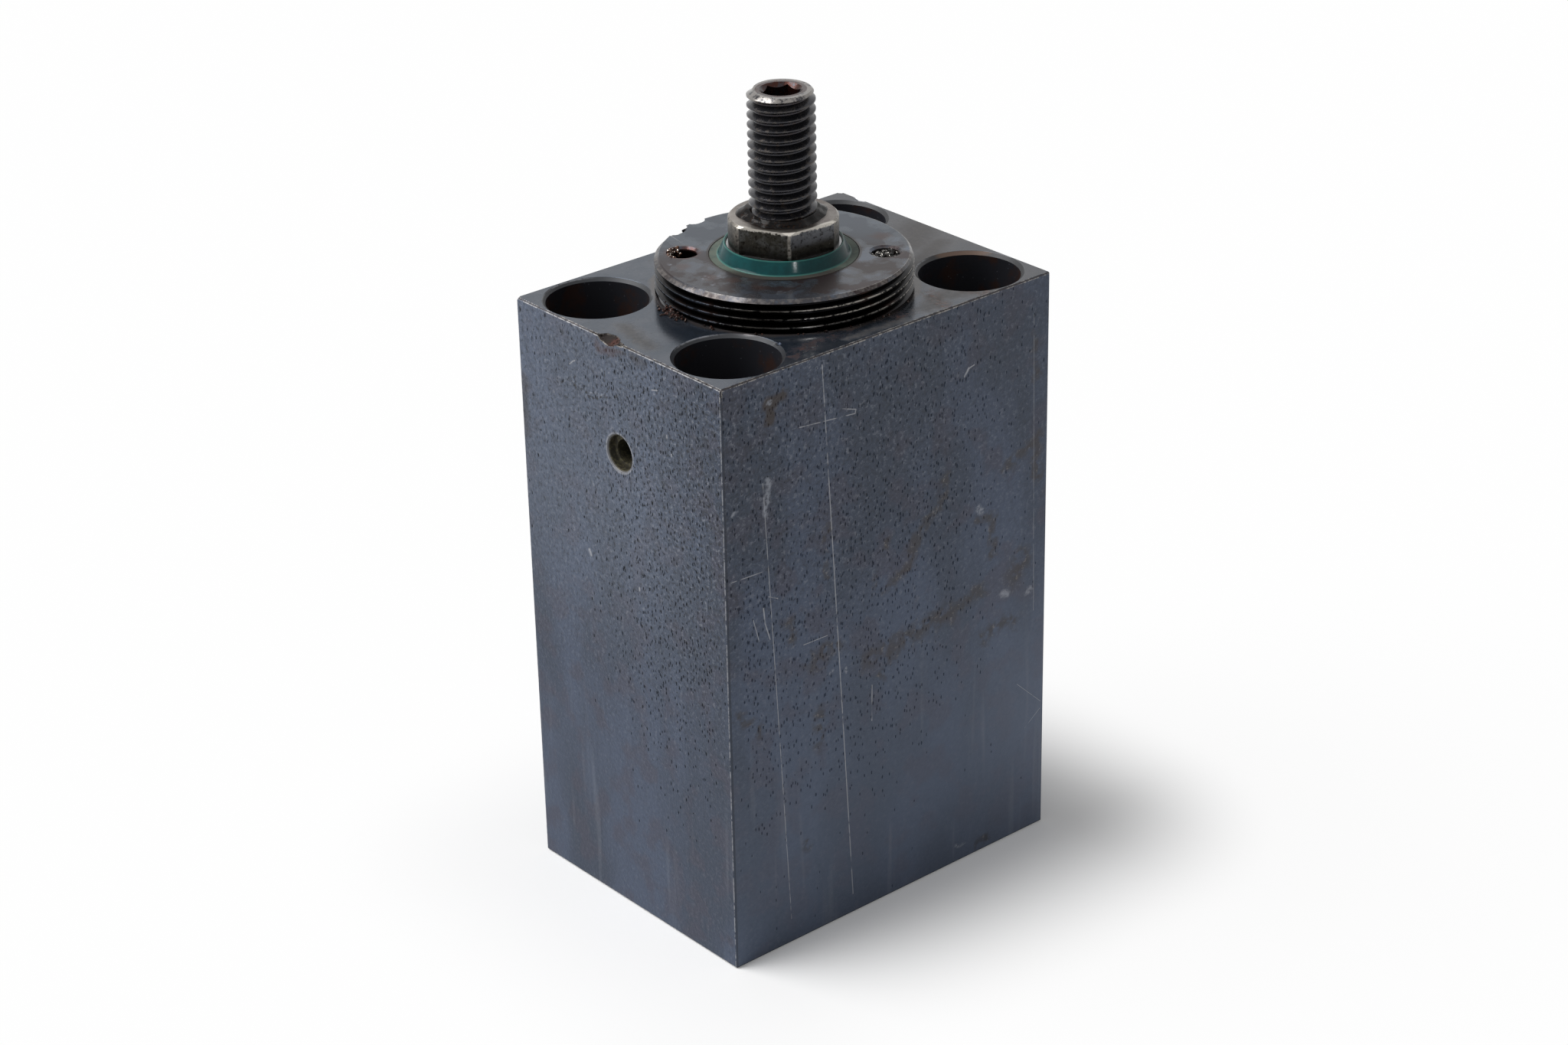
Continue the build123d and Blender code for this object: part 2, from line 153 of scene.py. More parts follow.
smooth(block)


def srgb(code):
    """The linear colour that an sRGB hex value stands for."""
    parts = [int(code[i:i + 2], 16) / 255 for i in (1, 3, 5)]
    return [((c + 0.055) / 1.055) ** 2.4 if c > 0.04045 else c / 12.92 for c in parts] + [1.0]


def plug(tree, node, inputs):
    """Links or sets a node's inputs, each by its number or name. A hex colour is turned linear."""
    for name, value in dict(inputs).items():
        if isinstance(name, int):
            socket = node.inputs[name]
        else:
            socket = next(s for s in node.inputs if s.enabled and s.name == name)
        if isinstance(value, bpy.types.NodeSocket):
            tree.links.new(value, socket)
        else:
            socket.default_value = srgb(value) if isinstance(value, str) else value


def add(tree, kind, inputs=(), out=None, **settings):
    """Adds a node with its settings and links, and returns one of its outputs."""
    made = tree.nodes.new("ShaderNode" + kind)
    for name, value in settings.items():
        setattr(made, name, value)
    plug(tree, made, inputs)
    return next(s for s in made.outputs if s.enabled and out in (None, s.name))


def new_finish(name):
    """A material, its node tree, its shader, and the place on the piece in millimetres."""
    finish = bpy.data.materials.new(name)
    finish.use_nodes = True
    tree = finish.node_tree
    place = add(tree, "TexCoord", out="Object")
    place_mm = add(tree, "VectorMath", {0: place, "Scale": 1000.0}, operation="SCALE")
    return finish, tree, tree.nodes["Principled BSDF"], place_mm


def split(tree, place):
    """A place's distances along X, Y and Z, and its distance from the rod's axis."""
    level = add(tree, "VectorMath", {0: place, 1: (1, 1, 0)}, operation="MULTIPLY")
    radius = add(tree, "VectorMath", {0: level}, operation="LENGTH")
    return [add(tree, "SeparateXYZ", {"Vector": place}, out=axis) for axis in "XYZ"] + [radius]


def where(tree, *bands):
    """A mask from bands, each a value and its two limits: 0 at the first, 1 from the last on."""
    mask = 1.0
    for value, low, high in bands:
        held = add(tree, "MapRange", {"Value": value, "From Min": low, "From Max": high},
                   interpolation_type="SMOOTHSTEP")
        mask = add(tree, "Math", {0: held, 1: mask}, operation="MULTIPLY")
    return mask


def lay(tree, under, *coats):
    """A colour or an amount under its coats, each laid on as far as all its masks hold. A mask
    is a strength, another node's output, or a band as where() takes it."""
    for over, *masks in coats:
        share = 1.0
        for mask in masks:
            if isinstance(mask, tuple):
                mask = where(tree, mask)
            share = add(tree, "Math", {0: mask, 1: share}, operation="MULTIPLY")
        kind = "FLOAT" if isinstance(over, float) else "RGBA"
        under = add(tree, "Mix", {"Factor": share, "A": under, "B": over}, data_type=kind)
    return under


def marks(tree, place, strokes, soft=0.6):
    """A mask that is 1 along strokes and on spots: one or two points, and a half width."""
    mask = 0.0
    for *points, half_width in strokes:
        start, end = points[0], points[-1]
        run = Vector(end) - Vector(start)
        share = run / max(run.length_squared, 1e-6)
        offset = add(tree, "VectorMath", {0: place, 1: start}, operation="SUBTRACT")
        along = add(tree, "VectorMath", {0: offset, 1: share}, operation="DOT_PRODUCT")
        along = add(tree, "Clamp", {"Value": along})
        nearest = add(tree, "VectorMath", {0: run, "Scale": along}, operation="SCALE")
        away = add(tree, "VectorMath", {0: offset, 1: nearest}, operation="DISTANCE")
        near = where(tree, (away, half_width, half_width * (1 - soft)))
        mask = add(tree, "Math", {0: near, 1: mask}, operation="MAXIMUM")
    return mask


def on_face(axis, level, strokes, wider=1.0):
    """Strokes and spots drawn flat, put on the face that lies across an axis at a level."""
    return [(*([*point[:axis], level, *point[axis:]] for point in points), half_width * wider)
            for *points, half_width in strokes]


def swirled(tree, place, size, reach):
    """A place moved about by a noise, so that what is drawn there gets a ragged outline."""
    noise = add(tree, "TexNoise", {"Vector": place, "Scale": 1 / size, "Detail": 3}, out="Color")
    moved = add(tree, "VectorMath", {0: noise, 1: (0.5, 0.5, 0.5)}, operation="SUBTRACT")
    return add(tree, "VectorMath", {0: moved, 1: (reach,) * 3, 2: place}, operation="MULTIPLY_ADD")


def from_edges(tree, place):
    """How far a place on the block is from the nearest edge of the face that it lies on."""
    away = add(tree, "VectorMath", {0: place, 1: (0, 0, block_height / 2)}, operation="SUBTRACT")
    away = add(tree, "VectorMath", {0: away}, operation="ABSOLUTE")
    half = (block_half_width, block_half_depth, block_height / 2)
    inward = add(tree, "VectorMath", {0: half, 1: away}, operation="SUBTRACT")
    x, y, z = (add(tree, "SeparateXYZ", {"Vector": inward}, out=axis) for axis in "XYZ")
    low = add(tree, "Math", {0: x, 1: y}, operation="MINIMUM")
    high = add(tree, "Math", {0: x, 1: y}, operation="MAXIMUM")
    high = add(tree, "Math", {0: high, 1: z}, operation="MINIMUM")
    return add(tree, "Math", {0: low, 1: high}, operation="MAXIMUM")


# Blued steel on the walls: a thin blue-black oxide over a drawn bar, so it looks slate
# grey and satin, with short upright pits from the bar's skin and bright steel at its edges
pit_and_shade_black = "#0b0d11"
rubbed_grey_and_highlight = "#82868f"
bright_steel = "#a3a4a8"
worn_beige = "#b3aea7"
rust_brown = "#2f2a29"
rust_red = "#472c26"
walls, tree, shader, place = new_finish("blued_steel_walls")
across, through, up, _ = split(tree, place)
upright = add(tree, "VectorMath", {0: place, 1: (1, 1, 0.42)}, operation="MULTIPLY")
cloud = add(tree, "TexNoise", {"Vector": upright, "Scale": 1 / 15, "Detail": 4})
tint = add(tree, "TexNoise", {"Vector": place, "Scale": 1 / 6, "Detail": 3})
grain = add(tree, "TexNoise", {"Vector": place, "Scale": 1 / 0.75, "Detail": 3,
                               "Roughness": 0.65, "Distortion": 0.3})
front = where(tree, (through, -27.3, -27.45))
port_wall = where(tree, (across, -37.3, -37.45))
# The wide front wall is lighter towards the bottom and darker towards the top, as painted light
# from the floor and painted shade. It is lighter again low at its right end, which is more painted
# floor light. The port wall is lighter towards its upper back.
colour = lay(
    tree, "#2e3849",
    ("#3b465a", (cloud, 0.38, 0.62)),
    ("#393846", (tint, 0.48, 0.62), 0.55),
    ("#5b6679", front, (up, 80, 0), 0.36),
    ("#232a35", front, (up, 60, 110), 0.34),
    ("#667083", front, (up, 60, 20), (across, 10, 36), 0.28),
    ("#6f798b", port_wall, (up, 40, 82), (through, -30, -2), 0.32),
)

# The bar's skin is rougher towards the top and towards the front edge
front_edge = (-block_half_width, -block_half_depth, 0)
flat_place = add(tree, "VectorMath", {0: place, 1: (1, 1, 0)}, operation="MULTIPLY")
aside = add(tree, "VectorMath", {0: flat_place, 1: front_edge}, operation="DISTANCE")
skin = add(tree, "Math", {0: where(tree, (aside, 85, 0)), 1: 0.5, 2: 0.5}, operation="MULTIPLY_ADD")
high = add(tree, "Math", {0: where(tree, (up, 20, 95)), 1: 0.78, 2: 0.22}, operation="MULTIPLY_ADD")
skin = add(tree, "Math", {0: skin, 1: high}, operation="MULTIPLY")
leather = add(tree, "TexNoise", {"Vector": place, "Scale": 1 / 2})
# Dark and light grains here are partly the skin's own tone and partly painted shade and highlight
# on its fine relief
colour = lay(
    tree, colour,
    (pit_and_shade_black, (grain, 0.5, 0.32), skin, lay(tree, 0.9, (0.5, front))),
    (rubbed_grey_and_highlight, (grain, 0.52, 0.74), skin, lay(tree, 0.66, (0.42, front))),
    (pit_and_shade_black, (leather, 0.5, 0.3), skin, lay(tree, 0.34, (0.14, front))),
)

# Pits, each an upright dash some 0.3 mm wide, black and without a shine
cells = {"Vector": upright, "Scale": 1 / 0.6}
cell = add(tree, "TexVoronoi", cells)
chance = add(tree, "TexVoronoi", cells, out="Color")
share = add(tree, "Math", {0: skin, 1: 0.30, 2: 0.02}, operation="MULTIPLY_ADD")
dense = where(tree, (aside, lay(tree, 42.0, (70.0, front)), 16), (aside, 2.5, 6), (up, 10, 70))
share = add(tree, "Math", {0: dense, 1: 0.85, 2: share}, operation="MULTIPLY_ADD")
sparse = add(tree, "Math", {0: chance, 1: share}, operation="LESS_THAN")
shape = add(tree, "Math", {0: grain, 1: 0.3, 2: cell}, operation="MULTIPLY_ADD")
pits = add(tree, "Math", {0: where(tree, (shape, 0.47, 0.33)), 1: sparse}, operation="MULTIPLY")
colour = lay(tree, colour, (pit_and_shade_black, pits, lay(tree, 0.8, (0.5, front))))
height = add(tree, "Math", {0: skin, 1: lay(tree, 0.27, (0.14, front)), 2: 0.03},
             operation="MULTIPLY_ADD")
height = add(tree, "Math", {0: grain, 1: height}, operation="MULTIPLY")
height = add(tree, "Math", {0: pits, 1: -0.06, 2: height}, operation="MULTIPLY_ADD")

# Faint upright streaks, where the bar was drawn, show low on the walls
streaky = add(tree, "VectorMath", {0: place, 1: (1, 1, 0.06)}, operation="MULTIPLY")
streak = add(tree, "TexNoise", {"Vector": streaky, "Scale": 1 / 2.4})
colour = lay(tree, colour, (rubbed_grey_and_highlight, (streak, 0.55, 0.72), (up, 60, 15), 0.14))

# Smears of rust and dried oil on the wide front wall, by their place in millimetres
front_face = (1, -block_half_depth)
smears = [
    ((20.3, 67.8), (23.4, 67.6), 1.1), ((23.4, 67.0), (23.7, 60.5), 0.9),
    ((13.4, 78.0), (-0.6, 62.2), 1.1), ((-15.0, 80.0), (-15.6, 69.0), 0.9),
    ((-1.6, 71.6), (-1.6, 70.9), 1.0), ((-4.6, 66.4), (-4.7, 63.4), 0.8),
    ((34.5, 80.0), (28.0, 77.2), 1.8), ((34.8, 80.0), (34.6, 72.5), 1.4),
    ((31.0, 57.0), (29.4, 53.8), 2.2), ((20.3, 54.2), (6.0, 51.0), 1.7),
    ((6.0, 51.0), (-6.7, 50.2), 2.0), ((-3.0, 50.2), (-2.5, 46.5), 1.0),
    ((-24.6, 64.0), (-24.4, 59.6), 1.3), ((30.0, 45.3), (22.5, 44.4), 1.5),
    ((-18.5, 54.5), (-13.5, 54.8), 1.8), ((-35.5, 50.0), (-33.0, 48.5), 1.3),
    ((-30.5, 46.0), (-30.0, 44.5), 1.1), ((-17.3, 42.6), (-17.1, 38.3), 1.6),
    ((-20.2, 18.7), (-20.1, 18.4), 1.1), ((21.6, 2.6), (21.8, 2.3), 1.3),
    ((33.8, 100.0), (34.4, 92.0), 1.2),
]
wandering = swirled(tree, swirled(tree, place, 7.0, 7.0), 1.8, 2.8)
rusty = marks(tree, wandering, on_face(*front_face, smears, 1.7), 0.9)
rust = lay(tree, rust_brown, ("#66605a", (grain, 0.58, 0.7)))
blurred = swirled(tree, place, 2.0, 2.4)
corner_stain = on_face(*front_face, [
    ((-27.4, 105.4), (-24.4, 106.2), 1.9), ((-27.2, 105.0), (-27.0, 102.4), 1.6),
])
colour = lay(
    tree, colour,
    (rust, rusty, front, (leather, 0.34, 0.52), 0.72),
    ("#2c2421", marks(tree, blurred, corner_stain, 0.7), front, 0.9),
)

# Long scratches, scuffs and pale knocks on the same wall
scratches = [
    ((-15.6, 109.0), (-10.1, 4.0), 0.15), ((-29.0, 91.6), (-24.7, 5.0), 0.11),
    ((-22.4, 99.4), (-8.4, 98.0), 0.13), ((-8.4, 98.0), (-8.2, 98.7), 0.13),
    ((-8.2, 98.7), (-11.2, 99.7), 0.13), ((-36.4, 75.7), (-29.7, 75.4), 0.12),
    ((-28.3, 70.3), (-26.3, 69.3), 0.14), ((-29.5, 68.5), (-29.2, 65.5), 0.20),
    ((-29.2, 65.5), (-28.2, 62.2), 0.15), ((-31.8, 67.1), (-30.6, 62.6), 0.11),
    ((-20.7, 58.4), (-15.3, 58.3), 0.11), ((33.6, 104.0), (34.5, 45.6), 0.06),
    ((-5.1, 44.8), (-5.2, 37.7), 0.13), ((30.6, 31.7), (36.6, 26.0), 0.07),
    ((32.6, 21.7), (36.5, 24.5), 0.07), ((17.0, 97.2), (17.9, 98.4), 0.32),
    ((17.9, 98.4), (19.2, 98.7), 0.18),
]
scratched = marks(tree, place, on_face(*front_face, scratches), 0.7)
broken = add(tree, "TexNoise", {"Vector": place, "Scale": 1 / 2.2})
broken = where(tree, (broken, 0.32, 0.5))
scratched = add(tree, "Math", {0: scratched, 1: broken}, operation="MULTIPLY")
height = add(tree, "Math", {0: scratched, 1: -0.03, 2: height}, operation="MULTIPLY_ADD")
dabs = [
    ((20.3, 70.4), (21.4, 69.8), 1.1), ((26.6, 51.6), (28.0, 51.5), 1.0),
    ((33.0, 50.1), (33.6, 50.1), 0.9), ((-14.5, 50.5), (-14.3, 50.5), 0.8),
    ((-10.9, 50.1), (-10.8, 50.1), 0.7), ((15.8, 3.5), (17.4, 3.5), 0.6),
    ((-35.6, 88.0), (-35.5, 88.2), 0.7), ((-27.9, 91.5), (-28.6, 85.5), 1.0),
    ((-27.4, 105.4), (-27.0, 105.6), 0.55),
]
dabbed = marks(tree, blurred, on_face(*front_face, dabs), 0.8)
colour = lay(
    tree, colour,
    (bright_steel, scratched, front, 0.6),
    (rubbed_grey_and_highlight, dabbed, front, (grain, 0.32, 0.55), 0.75),
)

# The narrow port wall has a crease, lighter along it as a painted highlight, with painted shadow in
# dark dots under it, and stains and a few pale specks
port_face = (0, -block_half_width)
crease = [
    (16.5, 99.1), (13.7, 100.1), (12.6, 100.1), (11.1, 99.7), (8.8, 99.8), (7.7, 99.1),
    (6.2, 99.3), (4.2, 100.2), (2.7, 100.5),
]
folds = on_face(*port_face, [(a, b, 0.42) for a, b in zip(crease, crease[1:])])
crease_and_highlight = marks(tree, swirled(tree, place, 2.2, 2.4), folds, 0.95)
lower = add(tree, "VectorMath", {0: place, 1: (0, 0, 0.6)})
painted_shadow_under_crease = marks(tree, lower, folds, 0.8)
height = add(tree, "Math", {0: crease_and_highlight, 1: 0.1, 2: height}, operation="MULTIPLY_ADD")
nicks = [
    ((12.9, 103.0), (12.1, 103.7), 0.2), ((12.1, 103.7), (11.4, 104.1), 0.2),
    ((-9.5, 105.3), (-11.0, 105.7), 0.2), ((-13.1, 98.2), (-13.1, 97.8), 0.25),
    ((-14.2, 95.1), (-14.2, 94.7), 0.22), ((9.8, 68.7), (9.4, 67.9), 0.5),
    ((-4.0, 66.4), (-4.0, 65.9), 0.3),
]
nicked = marks(tree, place, on_face(*port_face, nicks), 0.8)
port_centre = (-block_half_width, 0, port_heights[0])
ring = add(tree, "VectorMath", {0: place, 1: port_centre}, operation="DISTANCE")
stains = [
    ((4.8, 108.6), (3.3, 108.5), 1.5), ((3.3, 108.5), (0.3, 109.0), 1.4),
    ((0.3, 109.0), (-1.6, 109.8), 1.2), ((-4.5, 109.5), (-7.4, 109.2), 1.5),
    ((26.4, 96.0), (26.6, 86.0), 1.9),
]
stained = marks(tree, blurred, on_face(*port_face, stains), 0.9)
stain = lay(tree, rust_brown, (rust_red, (up, 106.0, 108.0), (through, -3.0, 0.0), 0.75))
colour = lay(
    tree, colour,
    (rubbed_grey_and_highlight, crease_and_highlight, port_wall, (grain, 0.4, 0.6), 0.45),
    (pit_and_shade_black, painted_shadow_under_crease, port_wall, (grain, 0.56, 0.44), 0.85),
    (bright_steel, nicked, port_wall, 0.6),
    (bright_steel, (ring, 3.9, 3.7), (grain, 0.3, 0.5), 0.42),
    (stain, stained, port_wall, 0.5),
)

# The chip over the port has rusted inside, and its lips are bright
chip = where(tree, (up, 107.5, 107.6), (up, 110.995, 110.95), (across, -34.5, -34.6),
             (across, -37.495, -37.45), (through, -5.2, -5.1), (through, 7.2, 7.1))
reddest = marks(tree, blurred, [((-36.8, 1.2, 110.5), 1.6)])
rough_rust = lay(tree, "#241d1b", (rust_red, reddest), ("#1d1512", (grain, 0.52, 0.4), 0.8))
side_lip = where(tree, (across, -37.25, -37.38), (grain, 0.36, 0.52))
top_lip = where(tree, (up, 110.70, 110.88), (grain, 0.40, 0.55))
colour = lay(
    tree, colour,
    (rough_rust, chip),
    (worn_beige, chip, side_lip, 0.6),
    (worn_beige, chip, top_lip, 0.22),
)

# Bare steel shows in a thin ragged line on each side of an edge, with grime between
from_edge = from_edges(tree, place)
ragged = add(tree, "TexNoise", {"Vector": place, "Scale": 1 / 0.9, "Detail": 4, "Roughness": 0.7})
between = where(tree, (from_edge, 0.29, 0.25))
at_top = where(tree, (up, 108, 110))
off_line = add(tree, "Math", {0: from_edge, 1: 0.31}, operation="SUBTRACT")
off_line = add(tree, "Math", {0: off_line}, operation="ABSOLUTE")
off_line = add(tree, "Math", {0: ragged, 1: -0.20, 2: off_line}, operation="MULTIPLY_ADD")
line = where(tree, (off_line, 0.0, -0.07))
colour = lay(
    tree, colour,
    ("#262120", between, at_top, 0.85),
    ("#333a47", between, (up, 110, 108), 0.6),
    (worn_beige, line, at_top, (ragged, 0.42, 0.58), 0.5),
    (bright_steel, line, port_wall, (ragged, 0.38, 0.54), 0.6),
    (pit_and_shade_black, (from_edge, 0.45, 0.32), front, (up, 110, 109), 0.5),
    # The foot of the walls is darkened, a painted contact shadow along the floor
    (pit_and_shade_black, (up, 0.5, 0.25), 0.6),
)
plug(tree, shader, {
    "Base Color": colour,
    "Metallic": lay(tree, 0.4, (1.0, pits, 0.8)),
    "Roughness": lay(tree, 0.44, (0.7, pits), (0.85, chip), (0.33, scratched)),
    "Normal": add(tree, "Bump", {"Height": height, "Distance": mm, "Strength": 0.9}),
})

# The top face is ground smooth and wet with oil, so it mirrors the gland and the light;
# rust and dirt lie on it in dull patches, and the holes are dark with oil
hole_black = "#33343a"
top, tree, shader, place = new_finish("blued_steel_top_and_holes")
across, through, up, radius = split(tree, place)
blotch = add(tree, "TexNoise", {"Vector": place, "Scale": 1 / 7, "Detail": 5, "Roughness": 0.6})
grain = add(tree, "TexNoise", {"Vector": place, "Scale": 1 / 0.7, "Detail": 4, "Roughness": 0.7})
colour = lay(
    tree, "#39424e",
    ("#454b55", (blotch, 0.4, 0.6)),
    ("#1d2025", (grain, 0.44, 0.26), 0.7),
    ("#7c7f84", (grain, 0.6, 0.76), 0.4),
)
ragged = swirled(tree, place, 1.6, 2.6)
top_face = (2, block_height)
patches = [
    ((-20.3, -24.8), (-14.6, -23.6), 1.5), ((-13.1, -23.5), (-5.2, -22.7), 1.3),
    ((-10.0, -22.6), (-9.2, -22.0), 1.1), ((2.6, -24.0), (7.1, -24.4), 1.3),
    ((15.5, -19.8), (13.1, -26.0), 1.4), ((20.2, -22.4), (22.5, -27.0), 1.3),
]
rusted = marks(tree, ragged, on_face(*top_face, patches, 1.9), 0.9)
streak = add(tree, "TexNoise", {"Vector": ragged, "Scale": 1 / 1.8, "Detail": 4, "Roughness": 0.7})
streak = where(tree, (streak, 0.36, 0.64))
rusted = add(tree, "Math", {0: rusted, 1: streak}, operation="MULTIPLY")
films = [
    ((10.4, -25.2), (18.4, -21.8), 2.6), ((14.3, -22.7), (24.0, -25.5), 2.4),
    ((-32.2, 4.4), (-34.6, -5.7), 2.2), ((29.0, -1.0), (35.5, 4.0), 6.0),
    ((22.0, -9.5), (33.0, -4.0), 3.5), ((-8.0, -25.5), (4.0, -25.8), 1.6),
]
filmed = marks(tree, ragged, on_face(*top_face, films, 1.3), 0.95)
film_tint = lay(tree, "#363433", ("#4c4845", (grain, 0.4, 0.65)))
rust_tint = lay(tree, "#22150f", ("#4a2a1d", (grain, 0.47, 0.6)))
around = add(tree, "Math", {0: blotch, 1: 3.2, 2: radius}, operation="MULTIPLY_ADD")
oiled = where(tree, (around, 25.6, 24.4))
inside = where(tree, (up, 110.42, 110.3))
rusty_hole = lay(tree, hole_black, ("#48332b", (blotch, 0.48, 0.62), 0.8))
dust = add(tree, "TexVoronoi", {"Vector": place, "Scale": 1 / 1.3})
colour = lay(
    tree, colour,
    (film_tint, filmed, 0.75),
    ("#34302f", (across, 8, 28), 0.55),
    (rust_tint, rusted, 0.9),
    ("#443d3a", oiled, 0.8),
    (rusty_hole, inside),
    (rubbed_grey_and_highlight, (dust, 0.1, 0.05), (up, 98, 108), inside, 0.5),
)

# The holes' broken rims are black, with a painted glint on the far side of each and rust in places
rim = where(tree, (up, 110.35, 110.42), (up, 110.985, 110.96), (radius, 23.0, 23.5))
rim_middle = (2, 110.7)
painted_rim_glint_spots = [
    ((-27.5, -8.2), 6.5), ((-27.5, 26.5), 6.5), ((22.5, -9.0), 5.0), ((27.5, 26.5), 6.5),
    ((-34.5, 23.0), 4.0),
]
painted_rim_glint = marks(tree, place, on_face(*rim_middle, painted_rim_glint_spots), 0.7)
rim_rust = marks(tree, place, on_face(*rim_middle, [((30.0, -7.0), (37.2, -12.0), 2.6)]), 0.5)
rim_tint = lay(
    tree, "#191a1d",
    ("#85878c", painted_rim_glint, (up, 110.72, 110.9), (grain, 0.34, 0.54)),
    ("#5a4436", rim_rust, 0.85),
)
colour = lay(tree, colour, (rim_tint, rim, 0.9))

# Each port is oily and olive-brown inside, and its broken edge is a dull bright ring
in_port = where(tree, (up, 96.5, 95.5), (radius, 23.0, 24.0),
                (through, -4.5, -4.0), (through, 4.5, 4.0))
olive = lay(tree, "#2a271c", ("#55513a", (grain, 0.46, 0.62), 0.8))
depth = add(tree, "Math", {0: across}, operation="ABSOLUTE")
colour = lay(tree, colour, (olive, in_port, 0.9), ("#66676b", in_port, (depth, 37.26, 37.34), 0.85))
dull = add(tree, "Math", {0: rusted, 1: filmed}, operation="MAXIMUM")
plug(tree, shader, {
    "Base Color": colour,
    "Metallic": lay(tree, 0.7, (0.35, oiled), (0.2, dull, 0.9), (0.3, rim), (0.5, inside)),
    "Roughness": lay(tree, 0.17, (0.5, dull), (0.3, inside), (0.5, rim), (0.6, in_port)),
    "Normal": add(tree, "Bump", {"Height": grain, "Distance": 0.012 * mm, "Strength": 0.7}),
})

# Honed bore: bare steel with a fine cross-hatch, drawn twice as coarse as a hone leaves it
honed, tree, shader, place = new_finish("honed_bore")
across, through, up, _ = split(tree, place)
angle = add(tree, "Math", {0: through, 1: across}, operation="ARCTAN2")
hatch = 0.0
for climb in (0.58, -0.58):
    wound = add(tree, "Math", {0: angle, 1: bore_radius * climb, 2: up}, operation="MULTIPLY_ADD")
    stroke = add(tree, "CombineXYZ", {"X": wound})
    strokes = add(tree, "TexNoise", {"Vector": stroke, "Scale": 1 / 0.8})
    hatch = add(tree, "Math", {0: strokes, 1: hatch})
plug(tree, shader, {
    "Base Color": lay(tree, "#8b8d8f", ("#a8aaab", (hatch, 0.8, 1.2))),
    "Metallic": 1.0,
    "Roughness": 0.28,
    "Normal": add(tree, "Bump", {"Height": hatch, "Distance": 0.004 * mm, "Strength": 0.8}),
})

# The bore is honed, the walls are blued, and the top, the holes and the ports are oily
for finish in (walls, top, honed):
    block.data.materials.append(finish)
on_walls, oily, in_bore = range(3)
counterbore_reach = 9.7
gland_hole_reach = 23.5
port_reach = 3.5
for face in block.data.polygons:
    x, y, z = (c / mm for c in face.center)
    away = math.hypot(x, y)
    on_top = face.normal.z > 0.98 and z > block_height - 0.05
    in_screw_hole = min(math.hypot(x - a, y - b) for a, b in screw_places) < counterbore_reach
    in_port = (abs(x) < block_half_width - 0.05
               and min(math.hypot(y, z - height) for height in port_heights) < port_reach)
    if away < bore_radius + 0.6 and bore_floor < z < gland_seat + 0.01:
        face.material_index = in_bore
    elif on_top or in_port or z > 0.02 and (in_screw_hole or away < gland_hole_reach):
        face.material_index = oily
    else:
        face.material_index = on_walls
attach(block, "housing")
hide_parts("cylinder_block")


# Guide gland: a turned steel bush that screws into the block with an M45 x 1.5 thread. It
# holds every seal of the rod. Four turns of the thread stand proud, black with oil, and a
# pin spanner has bruised its rim.
gland_radius = 22.5
gland_pitch = 1.5
gland_top = 117.0
pin_circle = 17.5
pin_angle = math.radians(137.3)


def thread_cutter(pitch, crest_radius, start, turns, steps):
    """The helical groove between a thread's crests, as a tool stands in it: 60 degree flanks,
    a flat root an eighth of the pitch wide, and a crest of the same width left between turns."""
    depth = 0.613 * pitch
    clear = 0.08 * pitch
    root = pitch / 8
    mouth = pitch * 7 / 8 + 2 * clear * math.tan(math.radians(30))
    middle = crest_radius - depth / 2 + clear / 2
    bpy.ops.mesh.primitive_plane_add(
        size=mm, location=(middle * mm, 0, start * mm), rotation=(math.pi / 2, 0, 0))
    tool = bpy.context.object
    bpy.ops.object.transform_apply()
    for outward, width in ((True, mouth), (False, root)):
        pick(tool, "VERT", lambda point: (point.co.x > middle * mm) == outward)
        bpy.ops.transform.resize(value=(1, 1, width))
        slide = ((depth + clear) / 2 - 0.5) * (1 if outward else -1)
        bpy.ops.transform.translate(value=(slide * mm, 0, 0))
        bpy.ops.object.mode_set(mode="OBJECT")
    pick(tool)
    bpy.ops.mesh.delete(type="ONLY_FACE")
    bpy.ops.object.mode_set(mode="OBJECT")
    helix = tool.modifiers.new("helix", "SCREW")
    helix.screw_offset = pitch * mm
    helix.iterations = turns
    helix.steps = helix.render_steps = steps
    bpy.ops.object.modifier_apply(modifier=helix.name)
    bpy.ops.object.mode_set(mode="EDIT")
    bpy.ops.mesh.select_all(action="DESELECT")
    bpy.ops.mesh.select_non_manifold()
    bpy.ops.mesh.fill_holes(sides=0)
    bpy.ops.mesh.select_all(action="SELECT")
    bpy.ops.mesh.normals_make_consistent(inside=False)
    bpy.ops.object.mode_set(mode="OBJECT")
    return tool


# Two notches from a slipped spanner: each gets deeper along the rim and ends at a step
notches = [
    (109.5, 22.0, 117.2, (3.4, 1.7, 1.2), -14, 4), (104.6, 22.1, 116.3, (0.9, 1.9, 1.0), 0, 6),
    (94.5, 22.2, 117.1, (2.3, 1.5, 0.8), -12, 9), (91.0, 22.2, 116.8, (0.7, 1.4, 0.75), 0, 13),
]
gland = merged_copy("gland", "threaded_gland")
cut_away(gland, thread_cutter(gland_pitch, gland_radius, start=98.34, turns=13, steps=144))
for angle, away, z, size, dip, seed in notches:
    centre = (away * math.cos(math.radians(angle)), away * math.sin(math.radians(angle)), z)
    cut_away(gland, bruise(centre, size, (0, dip, angle + 90), seed))
smooth(gland)

